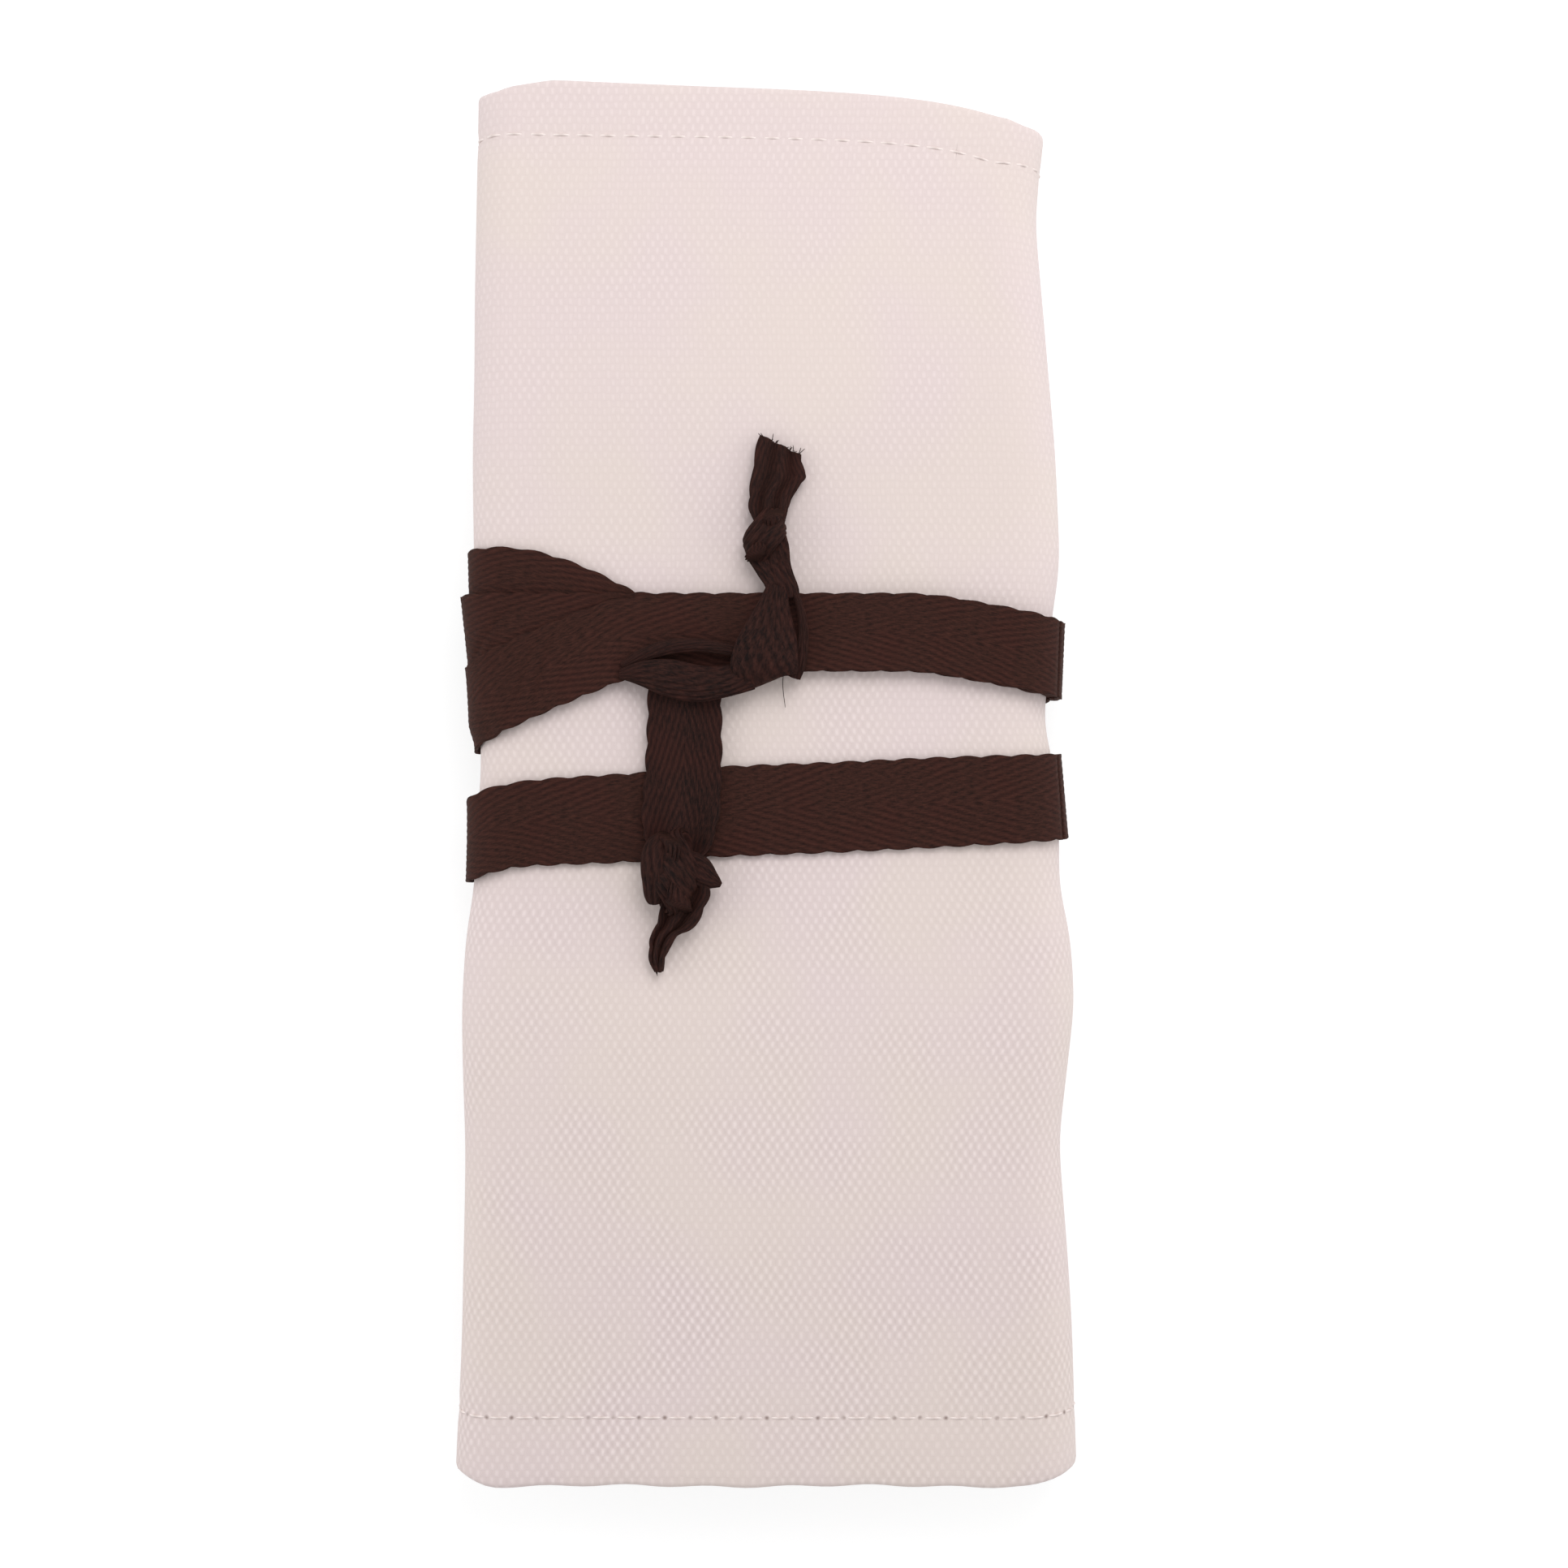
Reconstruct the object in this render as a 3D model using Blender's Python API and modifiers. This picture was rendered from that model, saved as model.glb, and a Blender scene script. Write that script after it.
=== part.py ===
"""Pencil wrap: a hemmed canvas strip with sewn pencil channels, rolled flat and tied with cotton tape.

The wrap lies on its back. X runs across the roll, Y along the pencils and Z up to the front face.
The cloth is one strip with four panels, named here from its outer end: back, front, third and fourth.
The outer fold joins the back to the front panel, and the rest of the roll turns open there. The back and
front panels are the plain flap, and the pencil channels are sewn on the third and fourth.
"""

import math

import bmesh
import bpy
import numpy as np
from mathutils import Matrix, Vector, geometry

# Driving sizes of the rolled cloth, in metres.
WRAP_LENGTH = 0.220
WRAP_WIDTH = 0.094
WRAP_THICKNESS = 0.018
CANVAS = 0.0006
POCKET_CLOTH = 0.0005
CHANNEL_PITCH = 0.015
CHANNEL_RISE = 0.0012
PANEL_GAP = 0.0016
POCKET_HEIGHT = 0.130
FREE_EDGE_INSET = 0.006
CORE_EDGE_INSET = 0.015
CLEARANCE = 0.0003

# Hems are the cloth's own edge turned under twice, so two more layers lie on its inner side.
HEM_CLOTH = 0.0010
TOP_HEM = 0.0085
BOTTOM_HEM = 0.0115
SIDE_HEM = 0.0090
TOP_DROP = 0.0055
INNER_RECESS = 0.0015

# The tie: one length of half-inch cotton tape, wound round the roll and knotted on the front.
TAPE_WIDTH = 0.0127
TAPE = 0.00055
BACK_LAYERS = 3
FRONT_WAIST = 0.0008
WAIST_FADE = 0.025
WAIST_MARGIN = 0.002

# The roll is wound a little askew, and the tape draws it in. Rows of height, as a share of the length, and
# how far the left and the right side stand off half the width there.
SIDES = (
    (-0.50, -0.0024, 0.0034),
    (-0.40, -0.0016, 0.0026),
    (-0.26, -0.0010, 0.0005),
    (-0.16, -0.0015, 0.0030),
    (-0.11, -0.0008, 0.0021),
    (-0.075, 0.0007, 0.0001),
    (0.04, 0.0012, -0.0008),
    (0.16, 0.0007, 0.0004),
    (0.24, 0.0003, -0.0003),
    (0.34, 0.0004, -0.0020),
    (0.41, 0.0009, -0.0034),
    (0.50, 0.0012, -0.0012),
)
TAPE_SEAT = 0.16

# Heights along Y at which the middle of the tape crosses the sides and the front of the roll.
LOW_RIGHT = -0.0021
LOW_MIDDLE = -0.0042
LOW_LEFT = -0.0077
HIGH_RIGHT = 0.0195
HIGH_MIDDLE = 0.0235
FIRST_LEFT = 0.0304
SECOND_LEFT = 0.0227
STRAND_LEFT = 0.0134

# The knot and the two tails that hang from it.
UPPER_KNOT = (0.0000, 0.0375)
UPPER_KNOT_SIZE = (0.0082, 0.0076, 0.0058)
UPPER_NECK = 0.0036
UPPER_TIP = 0.0545
LOWER_TAIL_X = -0.0130
LOWER_TAIL_WIDTH = 0.0118
LOWER_KNOT = (-0.0140, -0.0136)
LOWER_KNOT_SIZE = (0.0108, 0.0092, 0.0060)
LOWER_TIP = -0.0292

CANVAS_COLOUR = (0.76, 0.68, 0.65)
POCKET_COLOUR = (0.78, 0.71, 0.67)
HEM_COLOUR = (0.72, 0.63, 0.60)
TAPE_COLOUR = (0.042, 0.016, 0.012)
KNOT_COLOUR = (0.034, 0.013, 0.010)

# Sizes that follow from the ones above.
NEST = CANVAS + CLEARANCE + POCKET_CLOTH + CHANNEL_RISE + PANEL_GAP
BACK_LEVEL = CANVAS / 2
FRONT_LEVEL = WRAP_THICKNESS - CANVAS / 2
THIRD_LEVEL = BACK_LEVEL + NEST
FOURTH_LEVEL = FRONT_LEVEL - NEST
OUTER_RADIUS = (FRONT_LEVEL - BACK_LEVEL) / 2
LEFT_RADIUS = (FRONT_LEVEL - THIRD_LEVEL) / 2
INNER_RADIUS = (FOURTH_LEVEL - THIRD_LEVEL) / 2
MIDDLE_LEVEL = (FRONT_LEVEL + BACK_LEVEL) / 2
RIGHT_FOLD_X = WRAP_WIDTH / 2 - CANVAS / 2 - OUTER_RADIUS
LEFT_FOLD_X = -WRAP_WIDTH / 2 + CANVAS / 2 + LEFT_RADIUS
FREE_EDGE_X = -WRAP_WIDTH / 2 + FREE_EDGE_INSET
CORE_EDGE_X = -WRAP_WIDTH / 2 + CORE_EDGE_INSET
POCKET_LIFT = CANVAS / 2 + CLEARANCE + POCKET_CLOTH / 2
HEM_LIFT = CANVAS / 2 + CLEARANCE + HEM_CLOTH / 2
LAYER = TAPE + CLEARANCE
BACK_WAIST = BACK_LAYERS * LAYER + CLEARANCE
HINGE_X = RIGHT_FOLD_X + OUTER_RADIUS


def flat(start, end, level, inward):
    """A level stretch of the cloth's section, with +1 or -1 for the side that the pockets are on."""
    return {"length": abs(end - start), "ends": (start, end), "level": level, "inward": inward}


def bend(x, z, radius, start, end):
    """A round stretch of the cloth's section; angles are in radians from +X towards +Z."""
    return {"length": radius * abs(end - start), "centre": (x, z), "radius": radius, "turn": (start, end)}


UP, DOWN = math.pi / 2, -math.pi / 2
PANELS = {
    "back": flat(FREE_EDGE_X, RIGHT_FOLD_X, BACK_LEVEL, 1),
    "outer_fold": bend(RIGHT_FOLD_X, MIDDLE_LEVEL, OUTER_RADIUS, DOWN, UP),
    "front": flat(RIGHT_FOLD_X, LEFT_FOLD_X, FRONT_LEVEL, -1),
    "left_fold": bend(LEFT_FOLD_X, FRONT_LEVEL - LEFT_RADIUS, LEFT_RADIUS, UP, UP + math.pi),
    "third": flat(LEFT_FOLD_X, RIGHT_FOLD_X, THIRD_LEVEL, 1),
    "inner_fold": bend(RIGHT_FOLD_X, MIDDLE_LEVEL, INNER_RADIUS, DOWN, UP),
    "fourth": flat(RIGHT_FOLD_X, CORE_EDGE_X, FOURTH_LEVEL, -1),
}
FLAT_STEPS = {"back": 3, "front": 8, "third": 3, "fourth": 3}
BEND_STEPS = {"outer_fold": 10, "left_fold": 9, "inner_fold": 8}


def landmarks():
    """The distance along the cloth at which each panel begins, and the whole length."""
    begins, distance = {}, 0.0
    for name, panel in PANELS.items():
        begins[name] = distance
        distance += panel["length"]
    begins["end"] = distance
    return begins


BEGINS = landmarks()


def on_cloth(distance):
    """Place on the cloth's middle surface in section, and the direction of its inner side."""
    for name, panel in PANELS.items():
        if distance <= BEGINS[name] + panel["length"] or name == "fourth":
            break
    share = (distance - BEGINS[name]) / panel["length"]
    if "level" in panel:
        start, end = panel["ends"]
        return Vector((start + share * (end - start), panel["level"])), Vector((0, panel["inward"]))
    start, end = panel["turn"]
    angle = start + share * (end - start)
    outward = Vector((math.cos(angle), math.sin(angle)))
    return Vector(panel["centre"]) + panel["radius"] * outward, -outward


def smooth_step(value):
    value = min(max(value, 0.0), 1.0)
    return value * value * (3 - 2 * value)


def top_edge(distance):
    """The top edge drops towards both folds, and the layers inside keep below it."""
    half = WRAP_LENGTH / 2
    if distance <= BEGINS["front"]:
        return half - TOP_DROP
    if distance <= BEGINS["left_fold"]:
        share = 1 - (distance - BEGINS["front"]) / PANELS["front"]["length"]
        return half - TOP_DROP * share**2
    inward = smooth_step((distance - BEGINS["left_fold"]) / PANELS["left_fold"]["length"])
    return half - (TOP_DROP + INNER_RECESS) * inward


def bottom_edge(distance):
    recess = smooth_step((distance - BEGINS["left_fold"]) / PANELS["left_fold"]["length"])
    return -WRAP_LENGTH / 2 + INNER_RECESS * recess


WAIST_LOW = LOW_LEFT - TAPE_WIDTH / 2 - WAIST_MARGIN
WAIST_HIGH = FIRST_LEFT + TAPE_WIDTH / 2 + WAIST_MARGIN
WAIST_STEPS = 5
SHORTEST_ROW = 0.0025


def waist(y):
    """1 where the tape draws the roll in, 0 away from it."""
    below = smooth_step((y - WAIST_LOW) / WAIST_FADE + 1)
    above = smooth_step((WAIST_HIGH - y) / WAIST_FADE + 1)
    return below * above


def drawn_in(x, y, z):
    """The roll is pressed flatter where the tape holds it, and its sides follow their own lines."""
    share = waist(y)
    lift = BACK_WAIST * (1 - z / WRAP_THICKNESS) - FRONT_WAIST * z / WRAP_THICKNESS
    heights, left, right = zip(*SIDES)
    across = x / WRAP_WIDTH + 0.5
    shift = [float(np.interp(y / WRAP_LENGTH, heights, side)) for side in (left, right)]
    return Vector((x + shift[0] * (1 - across) + shift[1] * across, y, z + share * lift))


def steps_between(low, high):
    """Heights along Y for a piece of cloth: its ends, where its sides turn, and where the waist fades."""
    marks = [WAIST_LOW - WAIST_FADE * (1 - n / WAIST_STEPS) for n in range(WAIST_STEPS + 1)]
    marks += [WAIST_HIGH + WAIST_FADE * n / WAIST_STEPS for n in range(WAIST_STEPS + 1)]
    marks += [height * WRAP_LENGTH for height, _, _ in SIDES]
    found = [low]
    for y in sorted(marks):
        if y > found[-1] + SHORTEST_ROW and y < high - SHORTEST_ROW:
            found.append(y)
    return found + [high]


COLLECTION = "pencil_wrap"


def finish(name, colour, roughness):
    """A plain cloth material for one piece."""
    material = bpy.data.materials.new(name)
    material.use_nodes = True
    shader = material.node_tree.nodes["Principled BSDF"]
    shader.inputs["Base Color"].default_value = (*colour, 1)
    shader.inputs["Roughness"].default_value = roughness
    shader.inputs["Metallic"].default_value = 0
    return material


def add_piece(name, mesh, body, colour):
    """Put a mesh, made in world space, on the body's empty, with its origin there."""
    mesh.transform(Matrix.Translation(-body.location))
    piece = bpy.data.objects.new(name, mesh)
    piece.parent = body
    mesh.materials.append(finish(name, colour, 0.9))
    bpy.data.collections[COLLECTION].objects.link(piece)
    mesh.shade_smooth()
    return piece


def sheet(name, columns, rows, place, thickness, body, colour):
    """Cloth as an open grid, laid by place(column, row) on its middle surface, then given its thickness."""
    build = bmesh.new()
    bmesh.ops.create_grid(build, x_segments=columns, y_segments=rows, size=0.5)
    for vertex in build.verts:
        column = round((vertex.co.x + 0.5) * columns)
        row = round((vertex.co.y + 0.5) * rows)
        vertex.co = place(column, row)
    mesh = bpy.data.meshes.new(name)
    build.to_mesh(mesh)
    build.free()
    piece = add_piece(name, mesh, body, colour)
    solid = piece.modifiers.new("Cloth thickness", "SOLIDIFY")
    solid.thickness = thickness
    solid.offset = 0
    solid.use_even_offset = True
    return piece


def stations(start, end):
    """Distances along the cloth for its canvas: few on the level stretches, more round the folds."""
    found = [start, end]
    for name, steps in {**FLAT_STEPS, **BEND_STEPS}.items():
        begin, length = BEGINS[name], PANELS[name]["length"]
        found += [begin + length * n / steps for n in range(steps + 1)]
    return sorted({round(d, 7) for d in found if start <= d <= end})


def channel_stations(start, end):
    """Distances for the pocket strip: four steps to each pencil channel, counted from its first seam."""
    seams = max(round((end - start) / CHANNEL_PITCH), 1)
    count = 4 * seams
    return [start + (end - start) * n / count for n in range(count + 1)]


def channel_rise(step):
    """The pocket cloth stands away from the canvas between two seams."""
    return CHANNEL_RISE * math.sin(math.pi * (step % 4) / 4)


def strip(name, distances, lift, thickness, low, high, body, colour):
    """A stretch of cloth between two edges, each a function of the distance along it."""
    marks = steps_between(low(distances[0]), min(high(d) for d in distances))

    def place(column, row):
        distance = distances[column]
        middle, inward = on_cloth(distance)
        point = middle + lift(column) * inward
        y = marks[row]
        if row == 0:
            y = low(distance)
        if row == len(marks) - 1:
            y = high(distance)
        return drawn_in(point.x, y, point.y)

    return sheet(name, len(distances) - 1, len(marks) - 1, place, thickness, body, colour)


def level(amount):
    return lambda column: amount


def below_top(amount):
    return lambda distance: top_edge(distance) - amount


def above_bottom(amount):
    return lambda distance: bottom_edge(distance) + amount


def cloth_part(prefix, start, end, body):
    """The canvas of one stretch of the strip, with its two long hems."""
    along = stations(start, end)
    strip(f"{prefix}_canvas", along, level(0), CANVAS, bottom_edge, top_edge, body, CANVAS_COLOUR)
    strip(f"{prefix}_bottom_hem", along, level(HEM_LIFT), HEM_CLOTH, bottom_edge, above_bottom(BOTTOM_HEM),
          body, HEM_COLOUR)
    strip(f"{prefix}_top_hem", along, level(HEM_LIFT), HEM_CLOTH, below_top(TOP_HEM), top_edge, body, HEM_COLOUR)


def pocket_strip(start, end, body):
    """The second cloth, sewn down in pencil channels on the inner side of the canvas."""
    foot = BOTTOM_HEM + CLEARANCE
    strip("pocket_strip", channel_stations(start, end), lambda column: POCKET_LIFT + channel_rise(column),
          POCKET_CLOTH, above_bottom(foot), above_bottom(foot + POCKET_HEIGHT), body, POCKET_COLOUR)


def side_hem(name, start, body):
    """The hem of a short end of the strip, between the two long hems."""
    along = [start, start + SIDE_HEM]
    strip(name, along, level(HEM_LIFT), HEM_CLOTH, above_bottom(BOTTOM_HEM + CLEARANCE),
          below_top(TOP_HEM + CLEARANCE), body, HEM_COLOUR)


def make_cloth(back, roll):
    """The strip in three stretches: the back panel, the outer fold that bends, and the rolled rest."""
    fold_start, fold_end, end = BEGINS["outer_fold"], BEGINS["front"], BEGINS["end"]
    gap = CLEARANCE / 2
    cloth_part("back", 0, fold_start - gap, back)
    cloth_part("fold", fold_start + gap, fold_end - gap, back)
    cloth_part("rolled", fold_end + gap, end, roll)
    pocket_strip(BEGINS["third"], end - SIDE_HEM - CLEARANCE, roll)
    side_hem("free_edge_hem", 0, back)
    side_hem("core_edge_hem", end - SIDE_HEM, roll)


LONGEST_STEP = 0.0045
SHORTEST_STEP = 0.0002
CORNER_STEP = math.radians(16)


def girth():
    """The tight path of the tape round the roll where it sits: places and outward directions in X and Z."""
    section = [on_cloth(distance)[0] for distance in stations(0, BEGINS["third"])]
    section = [drawn_in(point.x, TAPE_SEAT * WRAP_LENGTH, point.y).xz for point in section]
    loop = [section[i] for i in geometry.convex_hull_2d(section)]
    if sum(a.cross(b) for a, b in zip(loop, loop[1:] + loop[:1])) < 0:
        loop.reverse()
    stand_off = CANVAS / 2 + CLEARANCE + TAPE / 2
    path = []
    for before, here, after in zip([loop[-1]] + loop[:-1], loop, loop[1:] + [loop[0]]):
        first, second = outward_of(before, here), outward_of(here, after)
        turn = math.atan2(first.cross(second), first.dot(second))
        count = max(math.ceil(turn / CORNER_STEP), 1)
        for n in range(count + 1):
            angle = math.atan2(first.y, first.x) + turn * n / count
            out = Vector((math.cos(angle), math.sin(angle)))
            path.append((here + stand_off * out, out))
    return path


def outward_of(start, end):
    run = (end - start).normalized()
    return Vector((run.y, -run.x))


def closed_rail(path):
    """The girth as arrays: distance, X, Z and the outward direction, closed, from the middle of the front."""
    front = [i for i, (place, out) in enumerate(path) if out.y > 0.99 and place.x > 0][-1]
    path = path[front:] + path[:front + 1]
    rows = [(place.x, place.y, out.x, out.y) for place, out in path]
    table = [rows[0]]
    for row in rows[1:]:
        gap = math.dist(row[:2], table[-1][:2])
        if gap < SHORTEST_STEP:
            continue
        count = math.ceil(gap / LONGEST_STEP)
        table += [tuple(np.array(table[-1]) * (1 - n / count) + np.array(row) * n / count)
                  for n in range(1, count)] + [row]
    table = np.array(table)
    lengths = np.concatenate([[0], np.cumsum(np.hypot(*np.diff(table[:, :2], axis=0).T))])
    return np.column_stack([lengths, table])


RAIL = closed_rail(girth())
ROUND = RAIL[-1, 0]


def at_side(x, front, turn):
    """Distance round the girth to this X on the front or the back, in the given turn of the winding."""
    on_side = RAIL[RAIL[:, 4] > 0.5] if front else RAIL[RAIL[:, 4] < -0.5]
    distance = on_side[np.abs(on_side[:, 1] - x).argmin(), 0]
    if front and x >= on_side[0, 1] and distance > ROUND / 2:
        distance -= ROUND
    return distance + turn * ROUND


def at_front(x, turn=0):
    return at_side(x, True, turn)


def at_back(x, turn=0):
    return at_side(x, False, turn)


SOFTEN = 0.012
FINE_STEP = 0.001


def wound_tape(name, keys, body):
    """Tape along the girth. Each key is a distance round it, the tape's middle along Y, and its layer,
    counted outwards from 1 next to the canvas."""
    at, heights, layers = (np.array(column, float) for column in zip(*keys))
    reach = round(SOFTEN / FINE_STEP)
    fine = np.arange(at[0] / FINE_STEP - 2 * reach, at[-1] / FINE_STEP + 2 * reach + 1) * FINE_STEP
    kernel = np.ones(2 * reach + 1) / (2 * reach + 1)
    heights = np.convolve(np.interp(fine, at, heights), kernel, "valid")
    layers = np.convolve(np.interp(fine, at, layers), kernel, "valid")
    fine = fine[reach:-reach]
    turns = np.concatenate([RAIL[:-1, 0] + turn * ROUND for turn in (-1, 0, 1)])
    inside = turns[(turns > at[0] + SHORTEST_STEP) & (turns < at[-1] - SHORTEST_STEP)]
    middles = []
    for distance in [at[0], *inside, at[-1]]:
        x, z, out_x, out_z = (np.interp(distance % ROUND, RAIL[:, 0], RAIL[:, i]) for i in range(1, 5))
        out = Vector((out_x, 0, out_z)).normalized()
        rise = float(np.interp(distance, fine, layers) - 1) * LAYER
        y = float(np.interp(distance, fine, heights))
        middles.append((Vector((x, y, z)) + rise * out, out))
    return tape(name, middles, [TAPE_WIDTH] * len(middles), body, ends_along_y=True)


def tape(name, middles, widths, body, colour=TAPE_COLOUR, ends_along_y=False):
    """Tape laid along points that each have an outward direction; it lies square to its run."""
    count = len(middles)
    across = []
    for i, (_, out) in enumerate(middles):
        run = middles[min(i + 1, count - 1)][0] - middles[max(i - 1, 0)][0]
        if ends_along_y and i in (0, count - 1):
            run.y = 0
        across.append(out.cross(run).normalized())

    def place(column, row):
        return middles[column][0] + across[column] * (widths[column] * (row - 0.5))

    return sheet(name, count - 1, 1, place, TAPE, body, colour)


SIDE_X = WRAP_WIDTH / 2
BAND_STRAIGHT_X = 0.026
STRANDS_MEET_X = 0.0015


def make_turns(tie):
    """Four turns of the tape, in the order in which it was wound from the left strand of the knot."""
    left, right = -SIDE_X, SIDE_X
    third = 1 / 3
    wound_tape("tie_first_turn", [
        (at_front(STRANDS_MEET_X) + CLEARANCE, HIGH_MIDDLE, 3),
        (at_front(-0.010), HIGH_MIDDLE, 3),
        (at_front(-0.023), SECOND_LEFT, 3),
        (at_front(left), STRAND_LEFT, 3),
        (at_back(left), STRAND_LEFT - 0.001, 3),
        (at_back(left / 2), STRAND_LEFT * 0.65, 3),
        (at_back(0), STRAND_LEFT * 0.35, 2),
        (at_back(right / 2), 0.0005, 2),
        (at_back(right), LOW_RIGHT, 1.6),
        (at_front(right, 1) - CLEARANCE, LOW_RIGHT, 1.3),
    ], tie)
    wound_tape("tie_second_turn", [
        (at_front(right), LOW_RIGHT, 1.3),
        (at_front(0), LOW_MIDDLE, 1),
        (at_front(left), LOW_LEFT, 1),
        (at_back(left), LOW_LEFT, 1),
        (at_back(0), (LOW_LEFT + HIGH_RIGHT) / 2, 1),
        (at_back(right), HIGH_RIGHT - 0.001, 1),
        (at_front(right, 1) - CLEARANCE, HIGH_RIGHT, 1),
    ], tie)
    wound_tape("tie_third_turn", [
        (at_front(right), HIGH_RIGHT, 1),
        (at_front(BAND_STRAIGHT_X), HIGH_MIDDLE, 1),
        (at_front(-0.010), HIGH_MIDDLE, 1),
        (at_front(-0.023), HIGH_MIDDLE + 0.002, 1),
        (at_front(-0.034), FIRST_LEFT, 1),
        (at_front(left), FIRST_LEFT, 1),
        (at_back(left), FIRST_LEFT, 1),
        (at_back(left * third), FIRST_LEFT - 0.004, 1),
        (at_back(right * third / 2), HIGH_MIDDLE + 0.001, 2),
        (at_back(right), HIGH_RIGHT, 2),
        (at_front(right, 1) - CLEARANCE, HIGH_RIGHT, 2),
    ], tie)
    wound_tape("tie_fourth_turn", [
        (at_front(right), HIGH_RIGHT, 2),
        (at_front(BAND_STRAIGHT_X), HIGH_MIDDLE, 2),
        (at_front(-0.010), HIGH_MIDDLE, 2),
        (at_front(left), SECOND_LEFT, 2),
        (at_back(left), SECOND_LEFT, 2),
        (at_back(left * third), SECOND_LEFT, 2),
        (at_back(right * third / 2), SECOND_LEFT - 0.001, 3),
        (at_back(right), HIGH_RIGHT, 3),
        (at_front(right, 1) - CLEARANCE, HIGH_RIGHT, 3),
    ], tie)
    wound_tape("tie_right_strand", [
        (at_front(right), HIGH_RIGHT, 3),
        (at_front(BAND_STRAIGHT_X), HIGH_MIDDLE, 3),
        (at_front(STRANDS_MEET_X), HIGH_MIDDLE, 3),
    ], tie)


def smooth_route(knots, count):
    """Values read evenly from a smooth curve through rows of chosen numbers."""
    knots = np.array(knots, float)
    rows = np.vstack([2 * knots[0] - knots[1], knots, 2 * knots[-1] - knots[-2]])
    found = []
    for value in np.linspace(0, len(knots) - 1, count):
        i = min(int(value), len(knots) - 2)
        t = value - i
        a, b, c, d = rows[i:i + 4]
        found.append(b + (c - a) * t / 2 + (a - 2.5 * b + 2 * c - d / 2) * t**2 + (1.5 * (b - c) + (d - a) / 2) * t**3)
    return found


def free_tape(name, knots, count, body, colour=TAPE_COLOUR):
    """Tape off the girth: rows of X, Y, Z, width, and the tilt of its face to the right in degrees."""
    middles, widths = [], []
    for x, y, z, width, tilt in smooth_route(knots, count):
        lean = math.radians(tilt)
        middles.append((Vector((x, y, z)), Vector((math.sin(lean), 0, math.cos(lean)))))
        widths.append(width)
    return tape(name, middles, widths, body, colour)


FACE = WRAP_THICKNESS - FRONT_WAIST


def layer_height(number):
    return FACE + CLEARANCE + TAPE / 2 + (number - 1) * LAYER


def knot_lump(name, place, size, layers, turn, body):
    """An overhand knot pulled tight, lying over so many layers of tape: a round lump with the waist of
    its last wrap across it."""
    build = bmesh.new()
    bmesh.ops.create_uvsphere(build, u_segments=16, v_segments=10, radius=0.5)
    for vertex in build.verts:
        x, y, z = vertex.co
        crease = math.exp(-((y + 0.6 * x) / 0.16) ** 2)
        bulge = 1 - 0.16 * crease + 0.10 * x
        vertex.co = Vector((x * bulge * size[0], y * bulge * size[1], z * bulge * size[2]))
    height = FACE + CLEARANCE + layers * LAYER + size[2] / 2
    bmesh.ops.rotate(build, verts=build.verts, matrix=Matrix.Rotation(math.radians(turn), 3, "Z"))
    bmesh.ops.translate(build, verts=build.verts, vec=(*place, height))
    mesh = bpy.data.meshes.new(name)
    build.to_mesh(mesh)
    build.free()
    return add_piece(name, mesh, body, KNOT_COLOUR)


BAND_TOP = HIGH_MIDDLE + TAPE_WIDTH / 2
BAND_BOTTOM = HIGH_MIDDLE - TAPE_WIDTH / 2
NECK_X = 0.0028
NECK_HEIGHT = layer_height(4.2)
TAIL_HEIGHT = layer_height(3.9)


def make_knot(tie):
    """The left strand's end crosses over the lower tail and folds up into the upper tail. Its places are
    given as shares of the tape's width from the lower tail, the neck and the band's lower edge."""
    x, neck, foot, width = LOWER_TAIL_X, NECK_X, BAND_BOTTOM, TAPE_WIDTH
    free_tape("tie_knot_loop", [
        (x - 0.83 * width, foot, layer_height(4.3), 0.24 * width, 0),
        (x - 0.28 * width, foot + 0.03 * width, layer_height(4.8), 0.46 * width, 0),
        (x + 0.31 * width, foot, layer_height(4.8), 0.58 * width, 0),
        (neck - 0.38 * width, foot + 0.07 * width, layer_height(4.7), 0.65 * width, 0),
        (neck - 0.03 * width, foot + 0.40 * width, layer_height(4.7), 0.74 * width, 0),
        (neck + 0.11 * width, foot + 0.78 * width, layer_height(4.5), 0.54 * width, 0),
        (neck + 0.05 * width, BAND_TOP + 2 * CLEARANCE, NECK_HEIGHT, UPPER_NECK, 0),
    ], 22, tie)


def make_upper_tail(body):
    """The tail that points up the wrap: a pinched neck, an overhand knot and the spread end."""
    x, y = UPPER_KNOT
    half = UPPER_KNOT_SIZE[1] / 2
    height = FACE + UPPER_KNOT_SIZE[2] / 2
    neck_y = BAND_TOP + 3 * CLEARANCE
    low_neck, high_neck = y - half - CLEARANCE, y + half + CLEARANCE
    free_tape("upper_tail", [
        (NECK_X, neck_y, NECK_HEIGHT, UPPER_NECK, 0),
        (NECK_X * 0.8, (neck_y + low_neck) / 2, (NECK_HEIGHT + height) / 2, UPPER_NECK, 0),
        (NECK_X * 0.5, low_neck, height, UPPER_NECK * 1.2, 0),
    ], 7, body)
    knot_lump("upper_tail_knot", UPPER_KNOT, UPPER_KNOT_SIZE, 0, 20, body)
    free_tape("upper_tail_tip", [
        (x + 0.0006, high_neck, height, 0.0052, 0),
        (x + 0.0011, high_neck + 0.0030, height - 0.0004, 0.0061, 4),
        (x + 0.0020, high_neck + 0.0060, height - 0.0008, 0.0076, 7),
        (x + 0.0024, UPPER_TIP - 0.0040, height - 0.0010, 0.0076, 8),
        (x + 0.0012, UPPER_TIP, height - 0.0013, 0.0048, 6),
    ], 16, body)


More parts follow.
